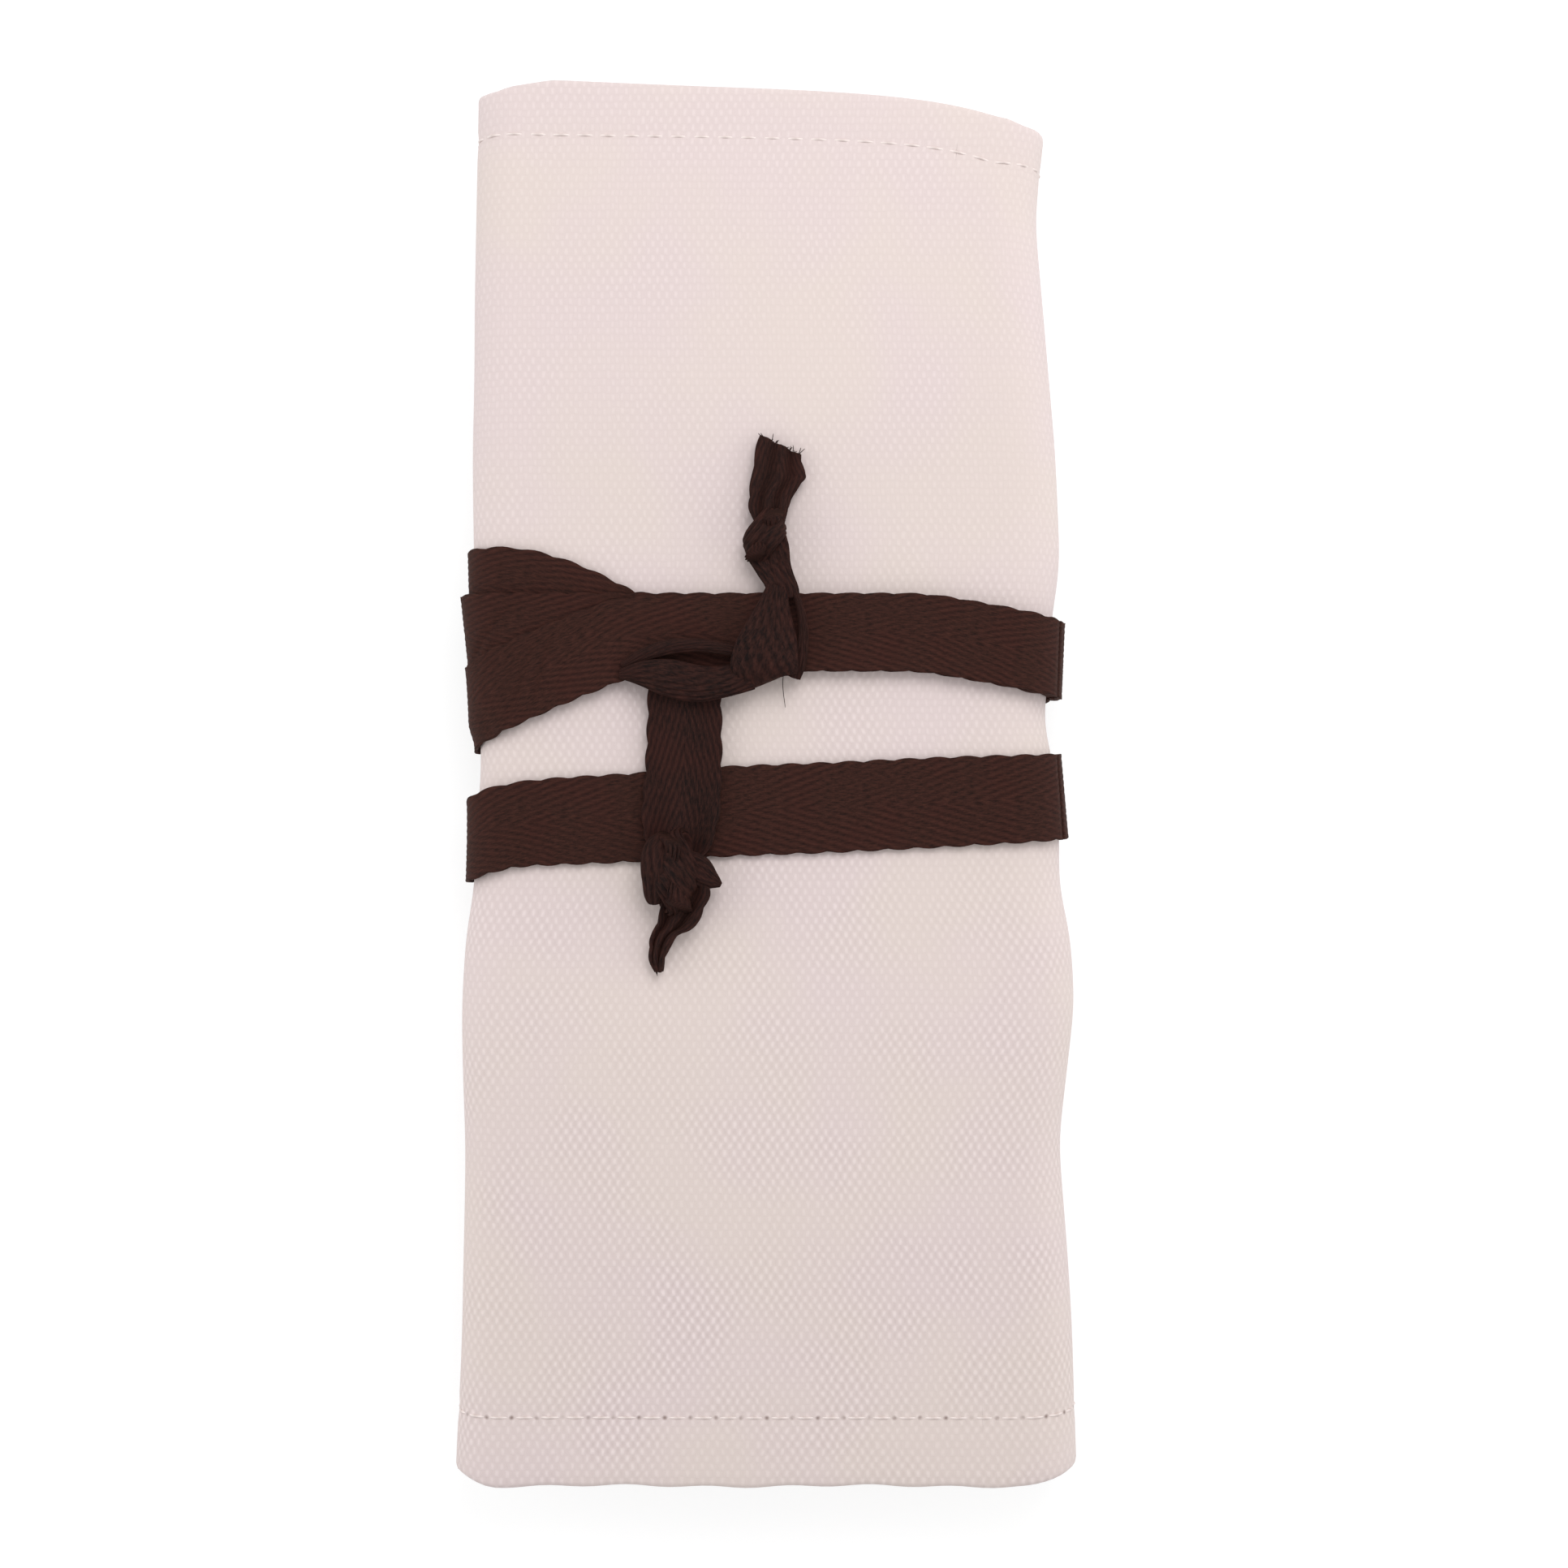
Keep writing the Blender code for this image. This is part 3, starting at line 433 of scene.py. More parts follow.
def cotton_plain_weave(name, raised, gap, pitches, height, roughness, holes=None):
    """Cotton canvas, plain woven and washed: each thread passes over one and under the next, which gives
    small matt squares that alternate in direction, with slubs where the yarn is thicker. Holes, if given, are
    the height and the spacing of the bottom seam's needle holes, in metres, and the colour of the painted
    shade in them."""
    material, tree = new_finish(name)
    if tree is None:
        return material
    cloth = add(tree, "UVMap", uv_map="cloth")
    # The pitches are in metres, and the cloth coordinates are in centimetres.
    turns = [math.pi / (pitch * 100) for pitch in pitches] + [0.0]
    stretch = add(tree, "VectorMath", {0: cloth, 1: (1.3, 14.0, 1.0)}, operation="MULTIPLY")
    # The yarns drift, have slubs and fuzz, and are warmer in patches, and the painted highlight on their
    # crowns varies in areas of 1 to 2 cm.
    drift, slub, fuzz, patch, area = (
        add(tree, "TexNoise", {"Vector": at, "Scale": scale, "Detail": detail}, noise_dimensions="2D")
        for at, scale, detail in ((cloth, 4.0, 4.0), (stretch, 1.0, 2.0), (cloth, 55.0, 4.0),
                                  (cloth, 0.35, 2.0), (cloth, 0.8, 3.0)))
    wander = add(tree, "VectorMath", {0: drift.outputs["Color"], "Scale": 0.07}, operation="SCALE")
    moved = add(tree, "VectorMath", {0: cloth, 1: wander}, operation="ADD")
    phase = add(tree, "VectorMath", {0: moved, 1: turns}, operation="MULTIPLY")
    wave = add(tree, "VectorMath", {0: phase}, operation="SINE")
    apart = add(tree, "SeparateXYZ", {0: wave})
    across, along = apart.outputs[0], apart.outputs[1]
    over = add(tree, "Math", {0: across, 1: along}, operation="MULTIPLY")
    is_over = add(tree, "Math", {0: over, 1: 0.0}, operation="GREATER_THAN")
    high_across, high_along = (add(tree, "Math", {0: value}, operation="ABSOLUTE")
                               for value in (across, along))
    flat_across, flat_along = (add(tree, "Math", {0: high, 1: 0.35}, operation="POWER")
                               for high in (high_across, high_along))
    warp = add(tree, "Math", {0: high_across, 1: flat_along}, operation="MULTIPLY")
    weft = add(tree, "Math", {0: high_along, 1: flat_across}, operation="MULTIPLY")
    weave = add(tree, "Mix", {0: is_over, 2: weft, 3: warp})
    thick = add(tree, "Math", {0: slub, 1: 0.7, 2: 0.55}, operation="MULTIPLY_ADD")
    yarn = add(tree, "Math", {0: weave, 1: thick}, operation="MULTIPLY")
    rough = add(tree, "Math", {0: fuzz, 1: 0.35, 2: yarn}, operation="MULTIPLY_ADD")
    # Painted highlight: the crowns of one set of yarns are painted lighter and those of the other darker,
    # more so towards the bottom and in patches of 1 to 2 cm.
    place = add(tree, "SeparateXYZ", {0: cloth})
    pressed = add(tree, "MapRange", {0: place.outputs[1], 1: -9.0, 2: 6.0, 3: 0.40, 4: 0.13})
    highlight_patches = add(tree, "MapRange", {0: area, 1: 0.38, 2: 0.62, 3: 0.45, 4: 1.0})
    crown_highlight = add(tree, "Math", {0: highlight_patches, 1: pressed}, operation="MULTIPLY")
    over_here = add(tree, "Math", {0: over, 1: crown_highlight}, operation="MULTIPLY")
    catch = add(tree, "Math", {0: rough, 1: 0.16, 2: over_here}, operation="MULTIPLY_ADD")
    depth = add(tree, "MapRange", {0: catch, 1: -0.40, 2: 0.70})
    tone = add(tree, "Mix", {0: depth, 6: (*gap, 1), 7: (*raised, 1)}, data_type="RGBA")
    warmth = add(tree, "MapRange", {0: patch, 1: 0.35, 2: 0.65, 3: 0.0, 4: 0.32})
    warm = add(tree, "Mix", {0: warmth, 6: tone.outputs[2], 7: (*linear("d6cbbe"), 1)}, data_type="RGBA")
    shown = warm
    if holes is not None:
        # Painted shade: a dark spot on the canvas colour at each of the bottom seam's needle holes.
        seam, pitch, dark = holes
        off_hole = add(tree, "Math", {0: place, 1: pitch * 50}, operation="PINGPONG")
        off_seam = add(tree, "Math", {0: place.outputs[1], 1: seam * 100}, operation="SUBTRACT")
        off = add(tree, "CombineXYZ", {0: off_hole, 1: off_seam})
        reach = add(tree, "VectorMath", {0: off}, operation="LENGTH")
        # The painted shade is darker at some holes than at others.
        hole_shade_strength = add(tree, "MapRange", {0: drift, 1: 0.35, 2: 0.6, 3: 0.2, 4: 0.95})
        hole_shade_mask = add(tree, "MapRange", {0: reach.outputs["Value"], 1: 0.012, 2: 0.048, 3: hole_shade_strength, 4: 0.0})
        shown = add(tree, "Mix", {0: hole_shade_mask, 6: warm.outputs[2], 7: (*dark, 1)}, data_type="RGBA")
    bump = add(tree, "Bump", {"Height": catch, "Distance": height, "Strength": 0.8})
    shader = add(tree, "BsdfPrincipled",
                 {"Base Color": shown.outputs[2], "Normal": bump, "Roughness": roughness,
                  "Sheen Weight": 0.12, "Sheen Roughness": 0.6, "Specular IOR Level": 0.25})
    add(tree, "OutputMaterial", {0: shader})
    return material


def cotton_herringbone_tape(scene, shaded=False):
    """Dark brown cotton tape, woven in herringbone twill: fine slanted ribs that meet in a line of chevrons
    down its middle, with a soft sheen on the yarn floats and near-black grooves. The shaded copy is painted
    darker, with more contrast, for the shade in the knot and the tails."""
    sizes, colours = scene.wrap_tape, scene.wrap_colours
    ribs_colour, gap_colour = colours.tape, colours.tape_gap
    # Painted shade: the knot and the tails take darker colours than the wound turns.
    if shaded:
        ribs_colour, gap_colour = colours.tape_shaded, colours.tape_shaded_gap
    material, tree = new_finish("Cotton tape, herringbone woven" + (", worn" if shaded else ""))
    if tree is None:
        return material
    cloth = add(tree, "UVMap", uv_map="cloth")
    apart = add(tree, "SeparateXYZ", {0: cloth})
    wobble, patch = (add(tree, "TexNoise", {"Vector": cloth, "Scale": scale, "Detail": detail},
                         noise_dimensions="2D") for scale, detail in ((3.0, 4.0), (1.1, 2.0)))
    side = add(tree, "Math", {0: apart.outputs[1]}, operation="ABSOLUTE")
    # Turns of phase for each centimetre along and across the tape.
    along, across = (math.tau * value / (sizes.rib * 100) for value in RIB_LEAN)
    run = add(tree, "Math", {0: apart, 1: along}, operation="MULTIPLY")
    lean = add(tree, "Math", {0: side, 1: across, 2: run}, operation="MULTIPLY_ADD")
    bent = add(tree, "Math", {0: wobble, 1: 2.4, 2: lean}, operation="MULTIPLY_ADD")
    wave = add(tree, "Math", {0: bent}, operation="SINE")
    stretch = add(tree, "VectorMath", {0: cloth, 1: (8.0, 44.0, 1.0)}, operation="MULTIPLY")
    yarn = add(tree, "TexNoise", {"Vector": stretch, "Scale": 1.0, "Detail": 5.0, "Roughness": 0.8},
               noise_dimensions="2D")
    # The ribs are clear in one place and nearly lost in the next, where the tape is worn and stretched.
    clear = add(tree, "MapRange", {0: patch, 1: 0.3, 2: 0.7, 3: 0.02, 4: 0.13})
    ribs = add(tree, "Math", {0: wave, 1: clear, 2: yarn}, operation="MULTIPLY_ADD")
    low, high = (0.36, 0.74) if shaded else (0.28, 0.82)
    depth = add(tree, "MapRange", {0: ribs, 1: low, 2: high})
    tone = add(tree, "Mix", {0: depth, 6: (*gap_colour, 1), 7: (*ribs_colour, 1)}, data_type="RGBA")
    redness = add(tree, "MapRange", {0: patch, 1: 0.4, 2: 0.7, 3: 0.0, 4: 0.35})
    red = add(tree, "Mix", {0: redness, 6: tone.outputs[2], 7: (*linear("3a1a15"), 1)}, data_type="RGBA")
    bump = add(tree, "Bump", {"Height": ribs, "Distance": 0.0002, "Strength": 0.7})
    shader = add(tree, "BsdfPrincipled",
                 {"Base Color": red.outputs[2], "Normal": bump, "Roughness": 0.78,
                  "Sheen Weight": 0.06, "Sheen Roughness": 0.5, "Sheen Tint": (*linear("b06a48"), 1),
                  "Specular IOR Level": 0.15})
    add(tree, "OutputMaterial", {0: shader})
    return material


def cotton_sewing_thread(colours):
    """Cotton sewing thread, spun and twisted: a smoother, paler line than the canvas, with a faint twist."""
    material, tree = new_finish("Cotton sewing thread, twisted")
    if tree is None:
        return material
    cloth = add(tree, "UVMap", uv_map="cloth")
    # One turn of the twist every 0.5 mm, in cloth coordinates of centimetres.
    twist = add(tree, "TexWave", {"Vector": cloth, "Scale": 3.2, "Distortion": 0.5},
                bands_direction="DIAGONAL")
    tone = add(tree, "Mix", {0: twist.outputs["Fac"], 6: (*linear("d3c5c0"), 1), 7: (*colours.thread, 1)},
               data_type="RGBA")
    bump = add(tree, "Bump", {"Height": twist.outputs["Fac"], "Distance": 0.00005})
    shader = add(tree, "BsdfPrincipled",
                 {"Base Color": tone.outputs[2], "Normal": bump, "Roughness": 0.6, "Sheen Weight": 0.1})
    add(tree, "OutputMaterial", {0: shader})
    return material


def canvas_finish(scene):
    s, c = scene.wrap_cloth, scene.wrap_colours
    seam = -s.wrap_length / 2 + s.bottom_hem - SEAM_INSET
    return cotton_plain_weave("Cotton canvas, plain woven", c.canvas, c.canvas_gap,
                              (s.warp_pitch, s.weft_pitch), 0.00014, 0.92, (seam, s.stitch, c.needle_hole_shade))


def lining_finish(scene):
    s, c = scene.wrap_cloth, scene.wrap_colours
    pitches = (s.warp_pitch * 0.8, s.weft_pitch * 0.8)
    return cotton_plain_weave("Cotton sheeting, plain woven", c.lining, c.lining_gap, pitches, 0.00010, 0.88)


CLOTH_STEP = 0.0016
# The outer fold's piece reaches this far on to the level cloth.
FOLD_REACH = 0.006
# Radius of a turned edge, the share of its thickness that pressed hem cloth keeps, and points on a hem layer.
TURN_RADIUS = 0.00065
HEM_PRESSED = 0.92
HEM_POINTS = 7
# How far the seams of the short ends lie inside their hems, and where a channel's seam starts over the hem's.
SHORT_SEAM_INSET = 0.0012
CHANNEL_START = 0.002
# A stitch shows between these shares of its length, and is drawn with this many points.
STITCH_SHOWS, STITCH_POINTS = (0.06, 0.94), 9


def stretches(cloth):
    """The three stretches of the strip: prefix, start, end, and the ends at which it joins the next one.
    The fold's stretch reaches on to the level cloth, so that its joins lie where nothing bends."""
    begins = cloth.begins
    low, high = begins["outer_fold"] - FOLD_REACH, begins["front"] + FOLD_REACH
    return [("back", 0.0, low, ("last",)), ("fold", low, high, ("first", "last")),
            ("rolled", high, begins["end"], ("first",))]


def attach(piece, prefix, node=None):
    """Settle a piece of one stretch. On the outer fold it keeps its place and is put on no body."""
    body = {"back": "back", "fold": None, "rolled": "roll"}[prefix]
    if body is None:
        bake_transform(piece)
    settle(piece, body, node)


def even(start, end, step):
    return np.linspace(start, end, max(int(round((end - start) / step)), 1) + 1)


def lay_strip(cloth, distances, profile):
    """Grid and marks of a piece of cloth. The profile gives its heights and lifts for the distances."""
    heights, lifts = profile(distances[:, None])
    heights, lifts = np.broadcast_arrays(heights, lifts)
    across = np.broadcast_to(distances[:, None], heights.shape)
    return cloth.place(across, heights, lifts), np.stack([across * 100, heights * 100], -1)


class WRAP_OT_canvas(bpy.types.Operator):
    """Lay the canvas strip, with its long edges turned under"""
    bl_idname = "wrap.canvas"
    bl_label = "Canvas strip"

    def execute(self, context):
        cloth = RolledCloth(context.scene)
        finish = canvas_finish(context.scene)
        turn = np.linspace(math.pi, 0, 7)

        def profile(d):
            low, high = cloth.bottom_edge(d), cloth.top_edge(d)
            count = int(cloth.sizes.wrap_length / CLOTH_STEP)
            shares = np.linspace(0, 1, count)[None, 1:-1]
            bottom = low + TURN_RADIUS * (1 - np.sin(turn))
            top = high - TURN_RADIUS * (1 - np.sin(turn[::-1]))
            middle = low + TURN_RADIUS + shares * (high - low - 2 * TURN_RADIUS)
            heights = np.concatenate([bottom, middle, top], axis=1)
            curl = TURN_RADIUS * (1 - np.cos(turn))
            lifts = np.concatenate([curl, np.zeros(count - 2), curl[::-1]])[None]
            return heights, lifts

        for prefix, start, end, joins in stretches(cloth):
            grid, marks = lay_strip(cloth, even(start, end, CLOTH_STEP), profile)
            piece = thick_sheet(f"{prefix}_canvas_woven", grid, marks, cloth.sizes.canvas, finish, joins)
            attach(piece, prefix, f"{prefix}_canvas")
        return {"FINISHED"}


class WRAP_OT_hems(bpy.types.Operator):
    """Turn the hems under twice on the inner side of the canvas"""
    bl_idname = "wrap.hems"
    bl_label = "Hems"

    def execute(self, context):
        scene = context.scene
        cloth, finish = RolledCloth(scene), canvas_finish(scene)
        s, r = cloth.sizes, TURN_RADIUS
        inner_turn = np.linspace(0, math.pi, 6)

        def folded_under(depth):
            """Offsets from the edge and lifts of the two layers under the canvas, joined by their fold."""
            out = np.linspace(r, depth - r / 2, HEM_POINTS)
            bend = depth - r / 2 + r / 2 * np.sin(inner_turn)
            back = np.linspace(depth - r / 2, 2 * r, HEM_POINTS)
            offsets = np.concatenate([out, bend[1:-1], back])
            fold = r + r / 2 + r / 2 * np.cos(inner_turn[1:-1])
            lifts = np.concatenate([np.full(HEM_POINTS, 2 * r), fold, np.full(HEM_POINTS, r)])
            return offsets[None], lifts[None]

        def profile_of(line, sign, depth):
            def profile(d):
                offsets, lifts = folded_under(depth)
                return line(d) + sign * offsets, lifts
            return profile

        for prefix, start, end, joins in stretches(cloth):
            for edge, line, sign, depth in (("bottom", cloth.bottom_edge, 1, s.bottom_hem),
                                            ("top", cloth.top_edge, -1, s.top_hem)):
                grid, marks = lay_strip(cloth, even(start, end, CLOTH_STEP), profile_of(line, sign, depth))
                node = f"{prefix}_{edge}_hem"
                piece = thick_sheet(f"{node}_turned", grid, marks, s.canvas * HEM_PRESSED, finish, joins)
                attach(piece, prefix, node)
        for name, start, sign, body in (("free_edge_hem", 0.0, 1, "back"),
                                        ("core_edge_hem", cloth.begins["end"], -1, "roll")):
            offsets, lifts = folded_under(s.side_hem)
            across = start + sign * (offsets[0] - r)
            low = cloth.bottom_edge(across) + s.bottom_hem + EASE
            high = cloth.top_edge(across) - s.top_hem - EASE
            shares = np.linspace(0, 1, int(s.wrap_length / CLOTH_STEP))
            heights = low[:, None] + shares * (high - low)[:, None]
            across = np.broadcast_to(across[:, None], heights.shape)
            grid = cloth.place(across, heights, lifts[0][:, None])
            piece = thick_sheet(f"{name}_turned", grid, np.stack([across * 100, heights * 100], -1),
                                s.canvas * HEM_PRESSED, finish)
            settle(piece, body, name)
        return {"FINISHED"}


def channel_seams(cloth):
    s = cloth.sizes
    start, end = cloth.begins["third"], cloth.begins["end"] - s.side_hem - EASE
    return np.linspace(start, end, round((end - start) / s.channel_pitch) + 1)


def pocket_lift(cloth, distance):
    """The pocket cloth rests on the canvas at each seam and stands off it between two."""
    s, seams = cloth.sizes, channel_seams(cloth)
    share = (distance - seams[0]) / (seams[1] - seams[0])
    rise = s.channel_rise * np.abs(np.sin(math.pi * share)) ** 0.8
    return s.canvas / 2 + EASE + s.pocket_cloth / 2 + rise


class WRAP_OT_pocket_strip(bpy.types.Operator):
    """Lay the pocket strip in its sewn pencil channels"""
    bl_idname = "wrap.pocket_strip"
    bl_label = "Pocket strip"

    def execute(self, context):
        cloth = RolledCloth(context.scene)
        s, seams = cloth.sizes, channel_seams(cloth)
        distances = np.linspace(seams[0], seams[-1], 12 * (len(seams) - 1) + 1)

        def profile(d):
            foot = cloth.bottom_edge(d) + s.bottom_hem + EASE
            return foot + np.linspace(0, s.pocket_height, 70)[None], pocket_lift(cloth, d)

        grid, marks = lay_strip(cloth, distances, profile)
        piece = thick_sheet("pocket_strip_woven", grid, marks, s.pocket_cloth, lining_finish(context.scene))
        settle(piece, "roll", "pocket_strip")
        return {"FINISHED"}


def stitch_runs(cloth, start, end):
    """Where each whole stitch between two distances runs. The needle holes are at whole stitches."""
    s = cloth.sizes
    numbers = np.arange(math.ceil(start / s.stitch - 0.5), math.ceil(end / s.stitch - 0.5))
    return [(n + np.linspace(*STITCH_SHOWS, STITCH_POINTS)) * s.stitch for n in numbers]


def stitch_rise(cloth, lift):
    """How far a stitch stands off the cloth along its length: it dips into the cloth at both ends."""
    hump = np.sin(np.linspace(0, math.pi, STITCH_POINTS)) ** 0.5
    return lift + cloth.sizes.thread * (0.75 * hump - 0.6) * (1 if lift > 0 else -1)


def stitches_across(cloth, start, end, height_at, lift):
    """Stitches that run along the strip at one height."""
    rise = stitch_rise(cloth, lift)
    return [cloth.place(run, height_at(run), rise) for run in stitch_runs(cloth, start, end)]


def stitches_along(cloth, distance, low, high, lift):
    """Stitches that run along Y at one distance on the strip."""
    rise = stitch_rise(cloth, lift)
    return [cloth.place(np.full_like(run, distance), run, rise) for run in stitch_runs(cloth, low, high)]


class WRAP_OT_stitches(bpy.types.Operator):
    """Sew the hems and the pencil channels, stitch by stitch"""
    bl_idname = "wrap.stitches"
    bl_label = "Stitches"

    def execute(self, context):
        cloth = RolledCloth(context.scene)
        s, finish = cloth.sizes, cotton_sewing_thread(context.scene.wrap_colours)
        outer, inner = -s.canvas / 2, 2 * TURN_RADIUS + s.canvas / 2
        inset = s.side_hem - SHORT_SEAM_INSET
        paths = {}
        for prefix, start, end, _ in stretches(cloth):
            paths[prefix] = [path for height in (cloth.bottom_seam, cloth.top_seam) for lift in (outer, inner)
                             for path in stitches_across(cloth, start, end, height, lift)]
        for prefix, distance in (("back", inset), ("rolled", cloth.begins["end"] - inset)):
            low, high = float(cloth.bottom_seam(distance)), float(cloth.top_seam(distance))
            for lift in (outer, inner):
                paths[prefix] += stitches_along(cloth, distance, low, high, lift)
        for seam in channel_seams(cloth)[1:-1]:
            foot = float(cloth.bottom_seam(seam)) + CHANNEL_START
            lift = s.canvas / 2 + EASE + s.pocket_cloth
            paths["rolled"] += stitches_along(cloth, seam, foot, foot + s.pocket_height - CHANNEL_START, lift)
        for prefix, found in paths.items():
            attach(tubes(f"{prefix}_stitches", found, s.thread / 2, finish), prefix)
        return {"FINISHED"}


# The ribs lean about 17 degrees from the run of the tape: sine and cosine of that angle.
RIB_LEAN = (math.sin(math.radians(17)), math.cos(math.radians(17)))
TAPE_STEP = 0.0008
TAPE_COLUMNS = 42
CORNER_STEP = math.radians(6)
# Lengths over which the tape's course bends from one direction to the next: along the rest, and along Y.
SOFTEN, SOFTEN_ACROSS = 0.012, 0.006
FINE_STEP, SEARCH_STEP = 0.0005, 0.0001


class Girth:
    """The tight path of the tape round the drawn-in roll, from the middle of the front towards the left."""

    def __init__(self, cloth):
        t, s = cloth.tape, cloth.sizes
        distances = np.arange(0, cloth.begins["third"], TAPE_STEP)
        x, z, _, _ = cloth.section(distances)
        line = cloth.drawn_in(np.stack([x, np.full_like(x, TAPE_SEAT * s.wrap_length), z], -1))[:, [0, 2]]
        loop = [Vector(line[i]) for i in geometry.convex_hull_2d([Vector(p) for p in line])]
        if sum(a.cross(b) for a, b in zip(loop, loop[1:] + loop[:1])) < 0:
            loop.reverse()
        stand_off = s.canvas / 2 + t.clearance + t.thickness / 2
        path = []
        for before, here, after in zip([loop[-1]] + loop[:-1], loop, loop[1:] + [loop[0]]):
            first, second = (Vector((run.y, -run.x)).normalized() for run in (here - before, after - here))
            turn = math.atan2(first.cross(second), first.dot(second))
            count = max(math.ceil(turn / CORNER_STEP), 1)
            for n in range(count + 1):
                angle = math.atan2(first.y, first.x) + turn * n / count
                out = Vector((math.cos(angle), math.sin(angle)))
                path.append((*(here + stand_off * out), *out))
        front = [i for i, row in enumerate(path) if row[3] > 0.99 and row[0] > 0][-1]
        table = np.array(path[front:] + path[:front + 1])
        lengths = lengths_along(table[:, :2])
        keep = np.concatenate([[True], np.diff(lengths) > 1e-6])
        self.table = np.column_stack([lengths, table])[keep]
        self.round = self.table[-1, 0]

    def at(self, side, x, turn=0):
        """Distance round the girth to this X, in millimetres, on the front or the back in this turn."""
        x = x * MM
        front = side == "front"
        fine = np.arange(0, self.round, SEARCH_STEP)
        found_x, _, _, out_z = self.read(fine)
        on_side = out_z > 0.5 if front else out_z < -0.5
        distance = fine[on_side][np.abs(found_x[on_side] - x).argmin()]
        if front and x >= self.table[0, 1] and distance > self.round / 2:
            distance -= self.round
        return distance + turn * self.round

    def read(self, distance):
        return [np.interp(distance % self.round, self.table[:, 0], self.table[:, i]) for i in range(1, 5)]


def softened(keys, count):
    """Values between the keys, averaged over a short way so that the tape bends and does not kink."""
    at, *columns = (np.array(column, float) for column in zip(*keys))
    places = np.linspace(at[0], at[-1], count)
    found = []
    for values, soften in zip(columns, (SOFTEN_ACROSS, SOFTEN, SOFTEN, SOFTEN)):
        reach = round(soften / FINE_STEP)
        fine = np.arange(at[0] / FINE_STEP - 2 * reach, at[-1] / FINE_STEP + 2 * reach + 1) * FINE_STEP
        kernel = np.hanning(2 * reach + 3)[1:-1]
        smooth = np.convolve(np.interp(fine, at, values), kernel / kernel.sum(), "valid")
        found.append(np.interp(places, fine[reach:-reach], smooth))
    return places, found


def rib_relief(sizes, along, across):
    phase = (along * RIB_LEAN[0] + np.abs(across) * RIB_LEAN[1]) / sizes.rib
    selvedge = smooth_step((np.abs(across) - 0.46 * sizes.width) / (0.03 * sizes.width))
    return sizes.rib_height * ((1 - selvedge) * np.sin(math.tau * phase) + 1.2 * selvedge)


def lay_tape(name, middles, outs, widths, sizes, finish, ends_along_y=False, way=1, crimp=None, start=0.0,
             level=False, cut=0.0):
    """Woven tape laid along points with outward directions: scalloped edges, a herringbone relief, and
    crimp(length, across), if given, for the creases that run along it. Level rows stay along X, and a cut
    slants the far end."""
    run = np.gradient(middles, axis=0)
    if level:
        run[:, 0] = 0
    if ends_along_y:
        for end in (0, -1):
            run[end, 1] = 0
        run[1:4, 1] *= np.array([0.25, 0.5, 0.75])
        run[-4:-1, 1] *= np.array([0.75, 0.5, 0.25])
    side = unit(np.cross(outs, run))
    outs = unit(np.cross(run, side))
    length = lengths_along(middles)
    share = np.linspace(-0.5, 0.5, TAPE_COLUMNS)[None]
    along = (start + length)[:, None] * way
    loops = np.where(share > 0, np.abs(np.sin(math.pi * along / sizes.scallop)),
                     np.abs(np.sin(math.pi * along / sizes.scallop + 1.1)))
    edge = smooth_step((np.abs(share) - 0.40) / 0.10) * (loops - 0.65) * sizes.scallop_depth
    across = share * widths[:, None] + np.sign(share) * edge
    flat_across = share * sizes.width
    grid = middles[:, None] + side[:, None] * across[..., None]
    if crimp is not None:
        grid = grid + outs[:, None] * crimp(length[:, None], share)[..., None]
    fade = smooth_step(length / length[-1] * 2 - 1)[:, None]
    grid[..., 1] += cut * share * widths[:, None] * fade
    relief = rib_relief(sizes, along, flat_across)
    marks = np.stack(np.broadcast_arrays(along * 100, flat_across * 100), -1)
    piece = thick_sheet(name, grid, marks, sizes.thickness, finish, relief=relief)
    return piece, float(length[-1])


